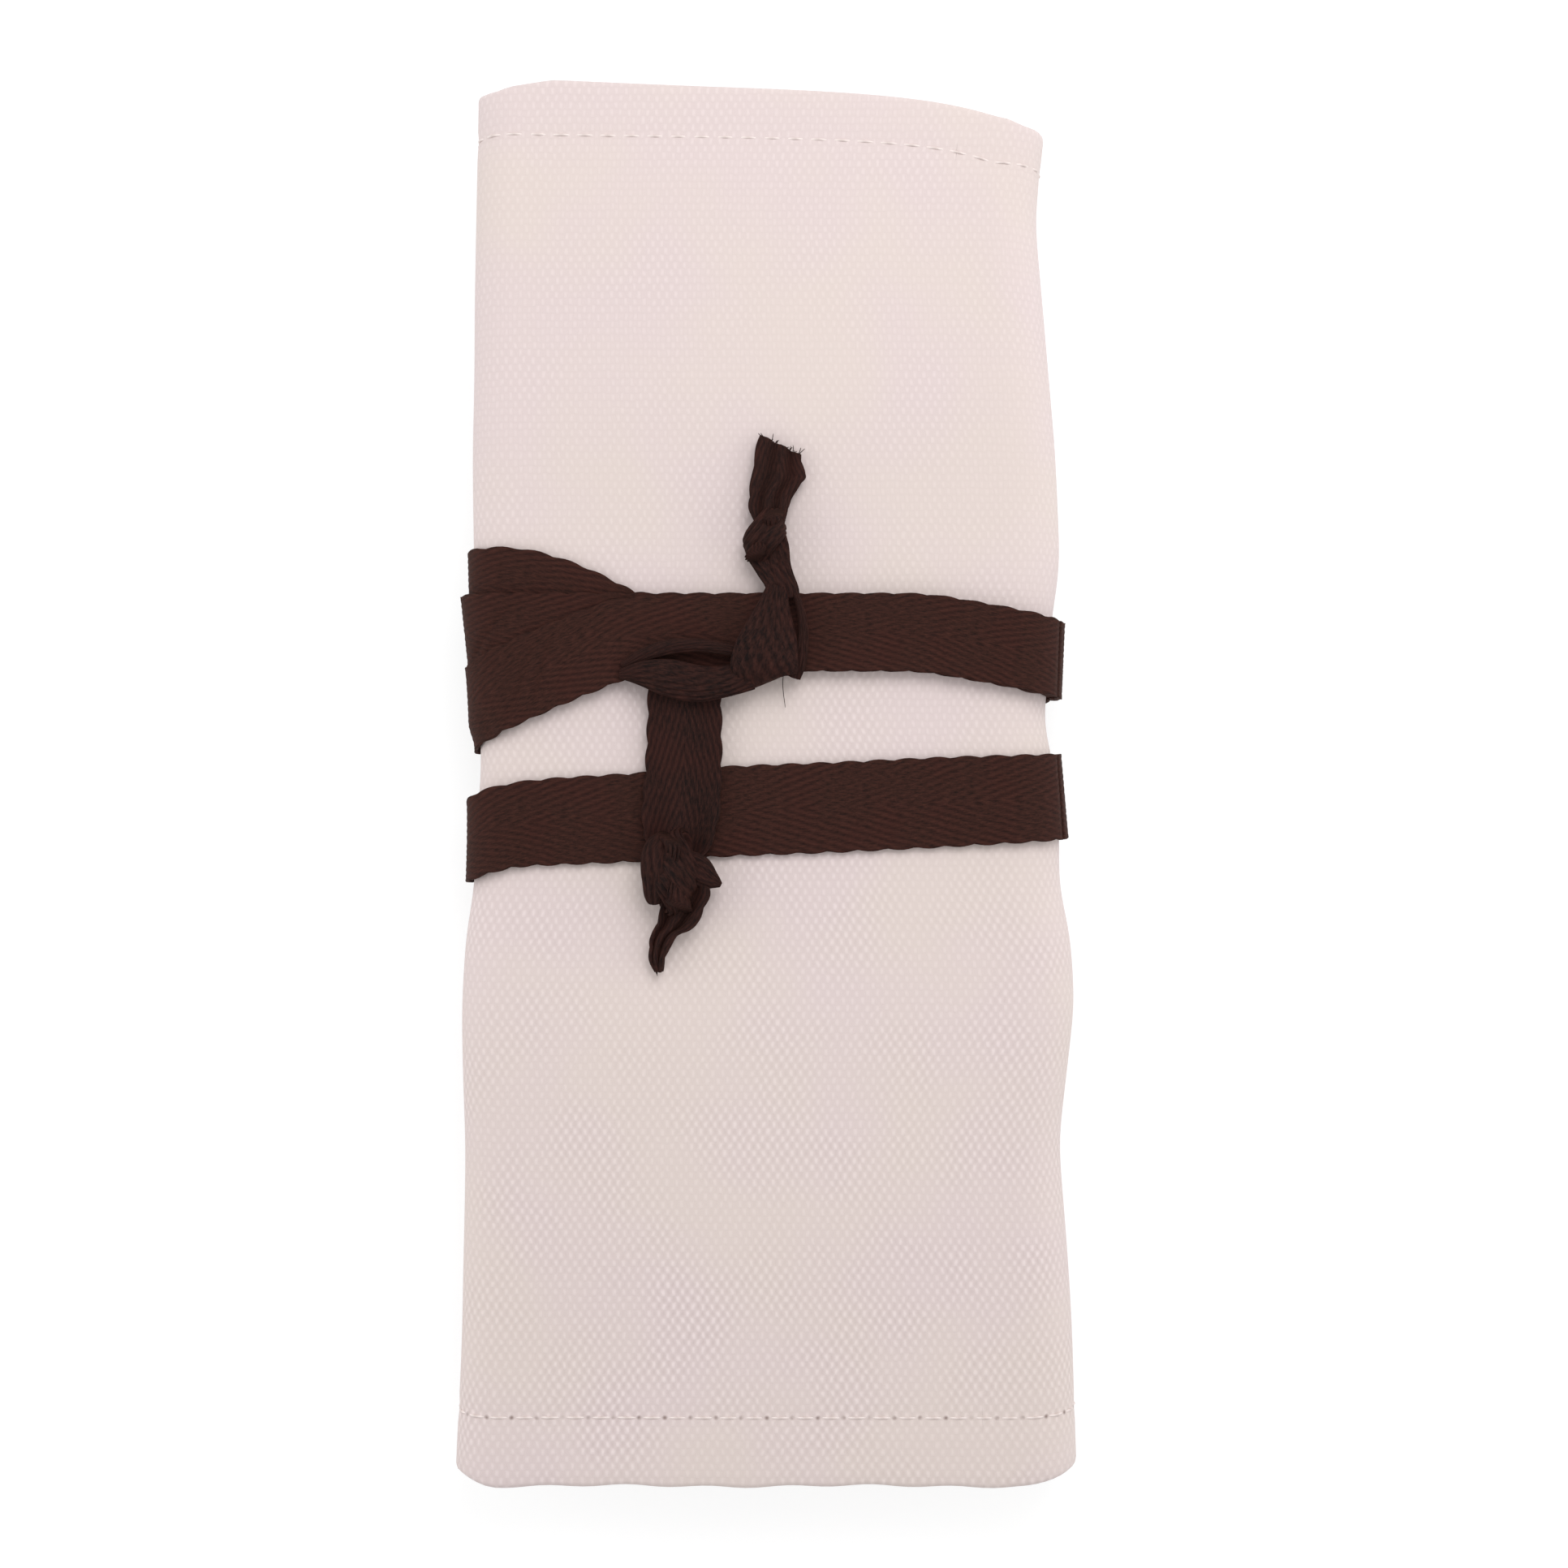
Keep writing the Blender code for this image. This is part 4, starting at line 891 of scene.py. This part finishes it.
def tie_keys(girth, half):
    """The four turns and the right strand: distance round the girth, the tape's height along Y, its layer,
    its tilt in degrees where one edge lies on another turn, and its width as a share of the slack tape's."""
    left, right, third = -half / MM, half / MM, 1 / 3
    f, b = (partial(girth.at, side) for side in ("front", "back"))
    seam = f(right, 1) - EASE
    straight, meet, corner = 26, 1.5, -21.5

    def from_right(layer):
        """The upper band from the right side to the straight stretch on the front, in one of its layers."""
        return [(f(right), 19.7, layer, -2.5, 0.95), (f(38.5), 21.6, layer, 0, 0.95),
                (f(straight), 23.7, layer, 0, 0.95)]

    def to_right(layer):
        """The upper band from the back to the right side."""
        return [(b(right), 19.5, layer, -2.5, 0.95), (seam, 19.7, layer, -2.5, 0.95)]

    return {
        "tie_first_turn": [(f(meet), 23.7, 3, 0, 0.96), (f(corner), 23.1, 3, 0, 0.98),
                           (f(-36), 17.4, 2.7, -1, 0.98), (f(left), 12.1, 2.1, -2.6, 0.98),
                           (b(left), 11.1, 2.1, -2.6, 0.98), (b(left / 2), 8.7, 3, 0, 1),
                           (b(0), 4.7, 2, 0, 1), (b(right / 2), 0.5, 2, 0, 1),
                           (b(right), -2, 1.6, 5, 1.04), (seam, -2, 1.4, 5, 1.06)],
        "tie_second_turn": [(f(right), -2, 1.4, 5, 1.06), (f(29), -2.8, 1, 0, 1.11),
                            (f(9.8), -3.7, 1, 0, 1.11), (f(-6.9), -4.3, 1, 0, 1.11),
                            (f(-21.3), -5.3, 1, 0, 1.09), (f(-35.7), -6, 1, 0, 1.07),
                            (f(-42), -6.7, 1.1, 0, 1.02), (f(left), -9, 1.8, 1, 0.98),
                            (b(left), -9.8, 1.8, 1, 0.98), (b(0), 5.9, 1, 0, 1), *to_right(1)],
        "tie_third_turn": [*from_right(1), (f(corner), 23.8, 1, 0, 0.95), (f(-28.5), 27.7, 1, 0, 0.95),
                           (f(-35.7), 30.4, 1, 0, 0.95), (f(-40.5), 31.2, 1, 0, 0.95),
                           (f(left), 30.9, 1.15, -1.6, 0.95), (b(left), 30.4, 1.15, -1.6, 0.95),
                           (b(left * third), 26.4, 1, 0, 0.95), (b(right * third / 2), 24.5, 2, 0, 0.95),
                           *to_right(2)],
        "tie_fourth_turn": [*from_right(2), (f(corner), 23.8, 2, 0, 0.95), (f(-36), 23.8, 2.1, -2, 0.95),
                            (f(left), 23.8, 2.5, -6.6, 0.95), (b(left), 23.6, 2.5, -6.6, 0.95),
                            (b(left * third), 22.7, 2, 0, 0.95), (b(right * third / 2), 21.7, 3, 0, 0.95),
                            *to_right(3)],
        "tie_right_strand": [*from_right(3), (f(meet), 23.7, 3, 0, 0.95)],
    }


# How far the first turn's lower edge curls in round the left side.
CURL = 0.0009
# Creases pressed into a turn at an X on the front, in millimetres: how far they slant, and how deep they are.
CREASES = {
    "tie_first_turn": ((-35.2, 0.75, 0.3), (-38.5, 0.9, 0.18), (-30, 0.6, 0.16)),
    "tie_fourth_turn": ((-42.5, 0.8, 0.34), (-40.4, 0.7, 0.18)),
}
CREASE_WIDTH = 0.0006


class WRAP_OT_wound_tape(bpy.types.Operator):
    """Wind the tape round the roll in four turns"""
    bl_idname = "wrap.wound_tape"
    bl_label = "Wound tape"

    def execute(self, context):
        cloth = RolledCloth(context.scene)
        t = cloth.tape
        finish = cotton_herringbone_tape(context.scene)
        girth = Girth(cloth)
        half = cloth.sizes.wrap_width / 2
        ends = [girth.at(side, -half / MM) for side in ("front", "back")]

        def pressed(name, start):
            """The creases of a turn, which fade out at its edges, and the first turn's curled edge."""
            def crimp(length, share):
                depth = np.zeros(np.broadcast(length, share).shape)
                fade = smooth_step((0.45 - np.abs(share)) / 0.2)
                for x, slant, deep in CREASES[name]:
                    off = length + start - girth.at("front", x) - slant * share * t.width
                    depth -= deep * MM * np.exp(-(off / CREASE_WIDTH) ** 2) * fade
                if name == "tie_first_turn":
                    off = np.abs(length + start - sum(ends) / 2) / (ends[1] - ends[0])
                    depth -= CURL * smooth_step((share - 0.15) / 0.35) * smooth_step((1.1 - off) / 0.5)
                return depth
            return crimp

        for name, keys in tie_keys(girth, half).items():
            count = int((keys[-1][0] - keys[0][0]) / TAPE_STEP)
            places, (heights, layers, tilts, shares) = softened(keys, count)
            heights = heights * MM
            x, z, out_x, out_z = girth.read(places)
            x = x + cloth.side_shift(x, heights) - cloth.side_shift(x, TAPE_SEAT * cloth.sizes.wrap_length)
            outs = unit(np.stack([out_x, np.zeros_like(x), out_z], -1))
            rise = (layers - 1) * t.layer_pitch
            middles = np.stack([x, heights, z], -1) + rise[:, None] * outs
            outs[:, 1] = np.tan(np.radians(tilts))
            crimp = pressed(name, places[0]) if name in CREASES else None
            piece, length = lay_tape(f"{name}_woven", middles, outs, t.width * shares, t, finish,
                                     ends_along_y=True, crimp=crimp, start=places[0] % girth.round)
            settle(piece, "tie", name)
        return {"FINISHED"}


def smooth_route(knots, count):
    """Rows of numbers read evenly from a smooth curve through the chosen rows."""
    knots = np.array(knots, float)
    rows = np.vstack([2 * knots[0] - knots[1], knots, 2 * knots[-1] - knots[-2]])
    values = np.linspace(0, len(knots) - 1, count)
    i = np.minimum(values.astype(int), len(knots) - 2)
    t = (values - i)[:, None]
    a, b, c, d = rows[i], rows[i + 1], rows[i + 2], rows[i + 3]
    return b + (c - a) * t / 2 + (a - 2.5 * b + 2 * c - d / 2) * t**2 + (1.5 * (b - c) + (d - a) / 2) * t**3


BUNDLE_SIDES = 108


def bundle(name, places, outs, widths, depths, finish, creases=5, groove=0.22, twist=0.0, untwisted=1.0):
    """Tape gathered into a strand: a flattened round section with creases that run along it, and that wind
    round it by twist radians for each millimetre as far as the untwisted length."""
    run = unit(np.gradient(places, axis=0))
    side = unit(np.cross(outs, run))
    out = np.cross(run, side)
    length = lengths_along(places)
    angles = np.linspace(-math.pi / 2, 1.5 * math.pi, BUNDLE_SIDES + 1)[None]
    turn = twist * np.minimum(length, untwisted)[:, None] * 1000
    lines = np.abs(np.sin(creases * angles / 2 + turn + 0.5 * np.sin(2.7 * angles)))
    swell = 1 - groove * (1 - lines) ** 1.6
    grid = (places[:, None] + side[:, None] * (widths[:, None] / 2 * np.cos(angles) * swell)[..., None]
            + out[:, None] * (depths[:, None] / 2 * np.sin(angles) * swell)[..., None])
    rows = BUNDLE_SIDES + 1
    faces = quads(len(places), rows).tolist()
    faces += [np.arange(rows - 1).tolist(), (np.arange(rows - 1)[::-1] + (len(places) - 1) * rows).tolist()]
    spread = np.broadcast_to(angles / math.tau * 1.4, (len(places), rows))
    marks = np.stack([np.broadcast_to(length[:, None] * 100, spread.shape), spread], -1)
    return new_piece(name, grid.reshape(-1, 3), faces, marks.reshape(-1, 2), finish)


def overhand_knot(name, centre, size, turn, strand, mirror, finish):
    """A true overhand knot pulled tight: one strand that rounds itself and passes through its own loop. Its
    centre, its size and its strand's width and depth are in millimetres, and its turn is in degrees."""
    centre, size, (width, depth) = (np.array(values) * MM for values in (centre, size, strand))
    t = np.linspace(-2.03, 2.03, 150)
    curve = np.stack([mirror * (t**3 - 3 * t) / 2, (t**5 - 10 * t) / 9.5, (t**4 - 4 * t**2 + 2) / 2], -1)
    reach = (size - np.array([width * 0.75, width * 0.75, depth])) / 2
    curve = curve * reach
    outs = curve * np.array([1.0, 0.25, 1.4]) + np.array([0, 0, 0.0004])
    angle = math.radians(turn)
    c, s = math.cos(angle), math.sin(angle)
    spin = np.array([[c, -s, 0], [s, c, 0], [0, 0, 1]])
    places = curve @ spin.T + centre
    outs = outs @ spin.T
    narrow = 1 - 0.25 * np.exp(-((np.abs(t) - 1.9) / 0.25) ** 2)
    return bundle(name, places, outs, width * narrow, depth * narrow, finish, creases=13, groove=0.16,
                  twist=0.2)


# In millimetres: height of the pressed front, air over it, half a tape's thickness, and the distance between
# layers of tape in the knot.
FACE, AIR, HALF_TAPE, LAYER = 17.2, 0.3, 0.275, 0.72


def layer_height(layer):
    """Middle height of a layer of tape on the pressed front, counted outwards from the canvas."""
    return FACE + AIR + HALF_TAPE + (layer - 1) * LAYER


def on_layers(rows):
    """Rows whose third value is a layer of tape, with its height instead."""
    return [(x, y, layer_height(layer), *rest) for x, y, layer, *rest in rows]


def strand_rows(rows, count):
    """Rows of X, Y, Z, width and depth in millimetres and of lean in degrees, smoothed and in metres: places,
    outward directions, widths and depths."""
    found = smooth_route(rows, count) * [MM, MM, MM, MM, MM, 1]
    lean = np.radians(found[:, 5])
    outs = np.stack([np.sin(lean), np.zeros_like(lean), np.cos(lean)], -1)
    return found[:, :3], outs, found[:, 3], found[:, 4]


# A loose yarn and a single fibre, both drawn thick enough to show.
YARN_RADIUS, FIBRE_RADIUS = 0.00007, 0.00006


def frayed_ends(name, roots, ways, seed, finish, longest=0.0014):
    """Loose yarns at a cut end of the tape: short curved fibres of uneven length."""
    chance = np.random.default_rng(seed)
    paths = []
    for root, way in zip(roots, ways):
        for _ in range(3):
            length = longest * chance.uniform(0.3, 1.0)
            side = chance.normal(0, 0.35, 3)
            share = np.linspace(0, 1, 6)[:, None]
            start = root + chance.normal(0, 0.00012, 3)
            paths.append(start + share * length * np.array(way) + share**2 * length * side)
    return tubes(name, paths, YARN_RADIUS, finish, sides=5)


class WRAP_OT_knot(bpy.types.Operator):
    """Fold the left strand's end over the lower tail and up into the upper tail"""
    bl_idname = "wrap.knot"
    bl_label = "Knot"

    def execute(self, context):
        finish = cotton_herringbone_tape(context.scene, shaded=True)
        across = on_layers([
            (-22.5, 17.2, 3.8, 1.6, 0.8, -8),
            (-19, 17.2, 4.8, 4, 1.6, -8),
            (-15, 16.5, 5.8, 5.8, 2.3, -4),
            (-10.5, 15.6, 6.1, 5.8, 2.5, 0),
            (-6.5, 15.8, 5.8, 5, 2.1, 0),
            (-2, 17, 5.0, 4.8, 1.5, 0),
        ])
        # The fold's upper lip: between it and the loop, the inside of the folded tape lies in shade.
        lip = on_layers([
            (-22.2, 18.5, 3.9, 1, 0.7, 0),
            (-19, 20, 4.6, 2, 1.2, 0),
            (-15, 21.2, 5.4, 2.4, 1.7, 0),
            (-11, 21.5, 5.8, 2.2, 1.9, 0),
            (-7, 21.1, 5.6, 2, 1.8, 0),
            (-3, 20.3, 5.0, 1.8, 1.4, 0),
        ])
        upward = on_layers([
            (0.3, 15.8, 3.8, 8.4, 0.4, 0),
            (0.1, 16.3, 4.9, 9.6, 1.3, 0),
            (0, 16.9, 5.7, 10.2, 1.8, 0),
            (0, 17.9, 6.3, 10.6, 2.2, 2),
            (0.2, 19.5, 6.7, 10.4, 2.4, 2),
            (0.7, 22.2, 6.7, 9.4, 2.5, 4),
            (1.1, 25, 6.4, 7.2, 2.5, 4),
            (1.5, 27.5, 6.0, 5.2, 2.4, 2),
            (1.9, 29.7, 5.6, 3.8, 2.2, 0),
            (2.1, 30.6, 5.4, 3.4, 2.1, 0),
        ])
        # The outer fold of the rising tape, with a deep crease between it and the rest.
        outer = on_layers([
            (4.6, 16.6, 3.6, 2.2, 0.8, 0),
            (5.3, 18.6, 4.8, 2.4, 1.6, 0),
            (5.8, 20.6, 5.4, 2.1, 1.9, 0),
            (6.1, 23.4, 5.7, 1.7, 1.9, 0),
            (5.9, 26, 5.6, 1.4, 1.8, 0),
            (5.4, 28, 5.3, 1.2, 1.6, 0),
            (4.8, 29.6, 5.0, 1.1, 1.4, 0),
        ])
        loop = bundle("tie_knot_loop_folded", *strand_rows(across, 90), finish, creases=15, groove=0.18,
                      twist=0.25)
        rest = [bundle("tie_knot_lip", *strand_rows(lip, 80), finish, creases=7, groove=0.16, twist=0.1),
                bundle("tie_knot_rising", *strand_rows(upward, 90), finish, creases=21, groove=0.17,
                       twist=-1.3, untwisted=0.009),
                bundle("tie_knot_outer_fold", *strand_rows(outer, 80), finish, creases=7, groove=0.16,
                       twist=-0.2)]
        settle(loop, "tie", "tie_knot_loop")
        fibre = smooth_route([(3.1, 17.6, FACE + 1.2), (2.9, 16, FACE + 0.9), (3, 14.3, FACE + 0.8),
                              (3.3, 12, FACE + 0.6)], 24) * MM
        rest.append(tubes("tie_stray_fibre", [fibre], FIBRE_RADIUS, finish, sides=5))
        for piece in rest:
            settle(piece, "tie")
        return {"FINISHED"}


class WRAP_OT_upper_tail(bpy.types.Operator):
    """Lay the upper tail: its pinched neck, its overhand knot and its spread, frayed end"""
    bl_idname = "wrap.upper_tail"
    bl_label = "Upper tail"

    def execute(self, context):
        t = context.scene.wrap_tape
        finish = cotton_herringbone_tape(context.scene, shaded=True)
        middle = FACE + 2.9
        neck = bundle("upper_tail_gathered", *strand_rows([
            (3.1, 28.8, layer_height(4.9), 5, 2, 0),
            (2.9, 30.1, layer_height(5), 5, 2.2, 0),
            (2.3, 31.8, layer_height(5), 4.9, 2.3, 0),
            (1.5, 33.7, middle - 0.2, 5.6, 2.4, -4),
            (0.7, 36, middle - 0.2, 6.8, 2.6, -6),
            (0.2, 37.8, middle - 0.4, 7, 2.4, -6),
        ], 40), finish, creases=11, groove=0.2, twist=-0.2)
        knot = overhand_knot("upper_tail_knot_tied", (0.1, 38.6, middle), (9, 6.6, 6.2), 30, (5.4, 2.8), 1,
                             finish)
        places, outs, widths, _ = strand_rows([
            (0.8, 40, middle, 4, 1.6, 0),
            (0.8, 41.3, middle, 4.6, 1.4, 0),
            (0.8, 43.1, middle - 0.2, 6, 1.3, 0),
            (1, 44.9, middle - 0.5, 6.4, 1, 4),
            (2.2, 47.8, middle - 0.8, 8, 0.8, 7),
            (2.3, 49.3, middle - 0.9, 7.7, 0.7, 8),
            (2.5, 52.9, middle - 1.2, 6.2, 0.6, 6),
        ], 60)

        def crimp(length, share):
            return 0.00042 * np.sin(math.tau * (2.6 * share + 0.12 + 20 * length)) * (1 - 0.4 * np.abs(share))

        slant = -0.48
        tip, _ = lay_tape("upper_tail_tip_woven", places, outs, widths, t, finish, crimp=crimp, level=True,
                          cut=-slant)
        spread = np.linspace(-1, 1, 9)
        ends = [places[-1] + np.array([x, slant * x - 0.0003, 0]) for x in 0.0028 * spread]
        ways = [(0.3 + 0.3 * i, 1, 0.1) for i in spread]
        fibres = frayed_ends("upper_tail_frayed", ends, ways, 5, finish, 0.0010)
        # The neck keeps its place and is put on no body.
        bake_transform(neck)
        settle(neck, None, "upper_tail")
        settle(knot, "upper_tail", "upper_tail_knot")
        settle(tip, "upper_tail", "upper_tail_tip")
        settle(fibres, "upper_tail")
        return {"FINISHED"}


class WRAP_OT_lower_tail(bpy.types.Operator):
    """Lay the lower tail: flat tape, its overhand knot and its pointed, frayed end"""
    bl_idname = "wrap.lower_tail"
    bl_label = "Lower tail"

    def execute(self, context):
        t = context.scene.wrap_tape
        finish = cotton_herringbone_tape(context.scene, shaded=True)
        middle = FACE + LAYER + 3
        places, outs, widths, _ = strand_rows(on_layers([
            (-12.4, 16.9, 3.9, 11.4, 0, 0),
            (-12.4, 10.9, 3.1, 11.5, 0, 0),
            (-12.6, 2.15, 2.6, 11.9, 0, 0),
            (-13, -4.2, 2.6, 12.1, 0, 0),
            (-13.6, -8.8, 3.0, 10.4, 0, 0),
            (-14.2, -11.2, 3.3, 7, 0, 0),
        ]), 76)
        strip_length = places[0, 1] - places[-1, 1]

        def cupped(length, share):
            close = smooth_step((length / strip_length - 0.55) / 0.45)
            return 0.00016 * np.cos(math.tau * 1.5 * share) + close * 0.0005 * np.cos(math.tau * 2 * share)

        tail, length = lay_tape("lower_tail_woven", places, outs, widths, t, finish, way=-1, crimp=cupped)
        knot = overhand_knot("lower_tail_knot_tied", (-13.8, -13.6, middle), (11.6, 11.2, 6.2), -32, (7.6, 3),
                             -1, finish)
        lobe = bundle("lower_tail_lobe", *strand_rows([
            (-15.2, -8.2, middle + 0.2, 3, 1.4, 0),
            (-16, -10, middle + 1, 5.2, 2.4, -4),
            (-16.4, -12.5, middle + 1.3, 5.6, 3, -6),
            (-16.5, -15, middle + 1, 5, 3, -6),
            (-16.9, -17, middle + 0.2, 3.8, 2.6, -6),
            (-17.1, -18.2, middle - 0.5, 2.6, 1.8, -6),
            (-17.1, -18.6, middle - 0.7, 1.2, 1, -6),
        ], 60), finish, creases=9, groove=0.18, twist=0.3)
        nub = bundle("lower_tail_nub", *strand_rows([
            (-12.6, -12.2, middle + 0.4, 4.4, 2.6, 0),
            (-10.4, -13.2, middle + 0.4, 5, 2.4, 0),
            (-8.6, -14.6, middle, 3.6, 1.9, 0),
            (-7.4, -15.3, middle - 0.3, 2, 1.4, 0),
            (-6.7, -15.7, middle - 0.4, 0.8, 0.9, 0),
        ], 30), finish, creases=5)
        places, outs, widths, _ = strand_rows([
            (-12.2, -14.5, middle - 0.2, 6, 0, 0),
            (-12.2, -17, middle - 0.2, 7.2, 0, 0),
            (-12.6, -19, middle - 0.4, 6.6, 0, -4),
            (-13.3, -20.9, middle - 0.7, 6.1, 0, -6),
            (-14.2, -22.4, middle - 0.9, 5.4, 0, -8),
            (-15.4, -23.4, middle - 1, 3.6, 0, -8),
            (-16.2, -24.9, middle - 1.2, 3, 0, -6),
            (-16.6, -27.2, middle - 1.5, 2, 0, -6),
            (-16.5, -29.2, middle - 1.9, 0.7, 0, -6),
        ], 84)

        def crimp(length, share):
            return 0.00050 * np.sin(math.tau * (2.2 * share + 0.3 + 14 * length))

        tip, _ = lay_tape("lower_tail_tip_woven", places, outs, widths, t, finish, crimp=crimp, level=True)
        ends = [places[-1] + np.array([x, 0.0006, 0]) for x in (-0.0003, 0.0, 0.0003)]
        ways = [(0.1 * i, -1, -0.1) for i in (-1, 0, 1)]
        fibres = frayed_ends("lower_tail_frayed", ends, ways, 9, finish, 0.0009)
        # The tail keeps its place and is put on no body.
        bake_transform(tail)
        settle(tail, None, "lower_tail")
        settle(knot, "lower_tail", "lower_tail_knot")
        settle(tip, "lower_tail", "lower_tail_tip")
        for piece in (lobe, nub, fibres):
            settle(piece, "lower_tail")
        return {"FINISHED"}


# Distance from the camera to the front of the roll, straight above it, and the middle of the frame along X.
CAMERA_RANGE, CAMERA_X = 0.3416, 0.0031
# Strength of the studio's even light, and how white and how shaded the floor shows.
STUDIO_LEVEL, FLOOR_GLOW, FLOOR_SHADE = 0.69, 0.76, 0.30
FLOOR_REACH, FLOOR_DROP = 3.0, 0.0003


class WRAP_OT_stage(bpy.types.Operator):
    """Set the pale floor, the soft studio light and the camera"""
    bl_idname = "wrap.stage"
    bl_label = "Stage"

    def execute(self, context):
        scene = context.scene
        colour = scene.wrap_colours.floor
        paper, tree = new_finish("White paper, matt")
        # Matt white paper: it shows as plain white, and keeps a soft share of the wrap's shadow.
        path = add(tree, "LightPath")
        first = add(tree, "Math",
                    {0: path.outputs["Is Camera Ray"], 1: path.outputs["Is Glossy Ray"]}, operation="MAXIMUM")
        seen = add(tree, "Math", {0: first, 1: path.outputs["Is Transmission Ray"]}, operation="MAXIMUM")
        plain = add(tree, "BsdfDiffuse", {0: (*colour, 1)})
        shadowed = add(tree, "BsdfDiffuse", {0: (*[FLOOR_SHADE] * 3, 1)})
        white = add(tree, "Emission", {0: (1, 1, 1, 1), 1: FLOOR_GLOW})
        shown = add(tree, "AddShader", {0: shadowed, 1: white})
        mixed = add(tree, "MixShader", {0: seen, 1: plain, 2: shown})
        add(tree, "OutputMaterial", {0: mixed})
        mesh = bpy.data.meshes.new("floor")
        corners = ((-1, -1), (1, -1), (1, 1), (-1, 1))
        places = [(x * FLOOR_REACH, y * FLOOR_REACH, -FLOOR_DROP) for x, y in corners]
        mesh.from_pydata(places, [], [(0, 1, 2, 3)])
        mesh.materials.append(paper)
        floor = bpy.data.objects.new("floor", mesh)
        scene.collection.objects.link(floor)

        world = bpy.data.worlds.new("Soft studio")
        scene.world = world
        world.use_nodes = True
        # The studio lights the wrap evenly, and shows as plain white behind the floor.
        tree = world.node_tree
        tree.nodes.clear()
        outside = add(tree, "LightPath")
        seen = outside.outputs["Is Camera Ray"]
        level = add(tree, "MapRange", {0: seen, 3: STUDIO_LEVEL, 4: 1.0})
        background = add(tree, "Background", {0: (1, 1, 1, 1), 1: level})
        add(tree, "OutputWorld", {0: background})
        for name, place, size, power in (("Key panel", (0.10, 0.30, 0.40), 0.30, 1.2),
                                         ("Left wall", (-0.45, 0.0, 0.12), 0.5, 0.94),
                                         ("Right wall", (0.45, 0.0, 0.12), 0.5, 0.68)):
            lamp = bpy.data.lights.new(name, "AREA")
            lamp.shape, lamp.size, lamp.energy = "SQUARE", size, power
            panel = bpy.data.objects.new(name, lamp)
            panel.location = place
            panel.rotation_euler = (-Vector(place)).to_track_quat("-Z", "Y").to_euler()
            scene.collection.objects.link(panel)

        camera = bpy.data.objects.new("Camera", bpy.data.cameras.new("Camera"))
        camera.data.lens = 50
        camera.data.sensor_width = 36
        camera.data.clip_start = 0.01
        camera.location = (CAMERA_X, 0, FACE * MM + CAMERA_RANGE)
        scene.collection.objects.link(camera)
        scene.camera = camera
        scene.view_settings.view_transform = "Standard"
        return {"FINISHED"}


class WRAP_PT_sidebar(bpy.types.Panel):
    """Steps of the pencil wrap, in the order in which they are made"""
    bl_label = "Pencil Wrap"
    bl_idname = "WRAP_PT_sidebar"
    bl_space_type = "VIEW_3D"
    bl_region_type = "UI"
    bl_category = "Pencil Wrap"

    def draw(self, context):
        for group in (context.scene.wrap_cloth, context.scene.wrap_tape, context.scene.wrap_colours):
            box = self.layout.box()
            for name in group.__annotations__:
                box.prop(group, name)
        for step in STEPS:
            self.layout.operator(step.bl_idname)


STEPS = (WRAP_OT_canvas, WRAP_OT_hems, WRAP_OT_pocket_strip, WRAP_OT_stitches, WRAP_OT_wound_tape,
         WRAP_OT_knot, WRAP_OT_upper_tail, WRAP_OT_lower_tail, WRAP_OT_stage)
CLASSES = (ClothSizes, TapeSizes, WrapColours, *STEPS, WRAP_PT_sidebar)


def register():
    for cls in CLASSES:
        bpy.utils.register_class(cls)
    bpy.types.Scene.wrap_cloth = bpy.props.PointerProperty(type=ClothSizes)
    bpy.types.Scene.wrap_tape = bpy.props.PointerProperty(type=TapeSizes)
    bpy.types.Scene.wrap_colours = bpy.props.PointerProperty(type=WrapColours)


def unregister():
    del bpy.types.Scene.wrap_cloth, bpy.types.Scene.wrap_tape, bpy.types.Scene.wrap_colours
    for cls in reversed(CLASSES):
        bpy.utils.unregister_class(cls)


def main():
    register()
    bpy.ops.wrap.stage()
    bpy.ops.wrap.canvas()
    bpy.ops.wrap.hems()
    bpy.ops.wrap.pocket_strip()
    bpy.ops.wrap.stitches()
    bpy.ops.wrap.wound_tape()
    bpy.ops.wrap.knot()
    bpy.ops.wrap.upper_tail()
    bpy.ops.wrap.lower_tail()


if __name__ == "__main__":
    main()
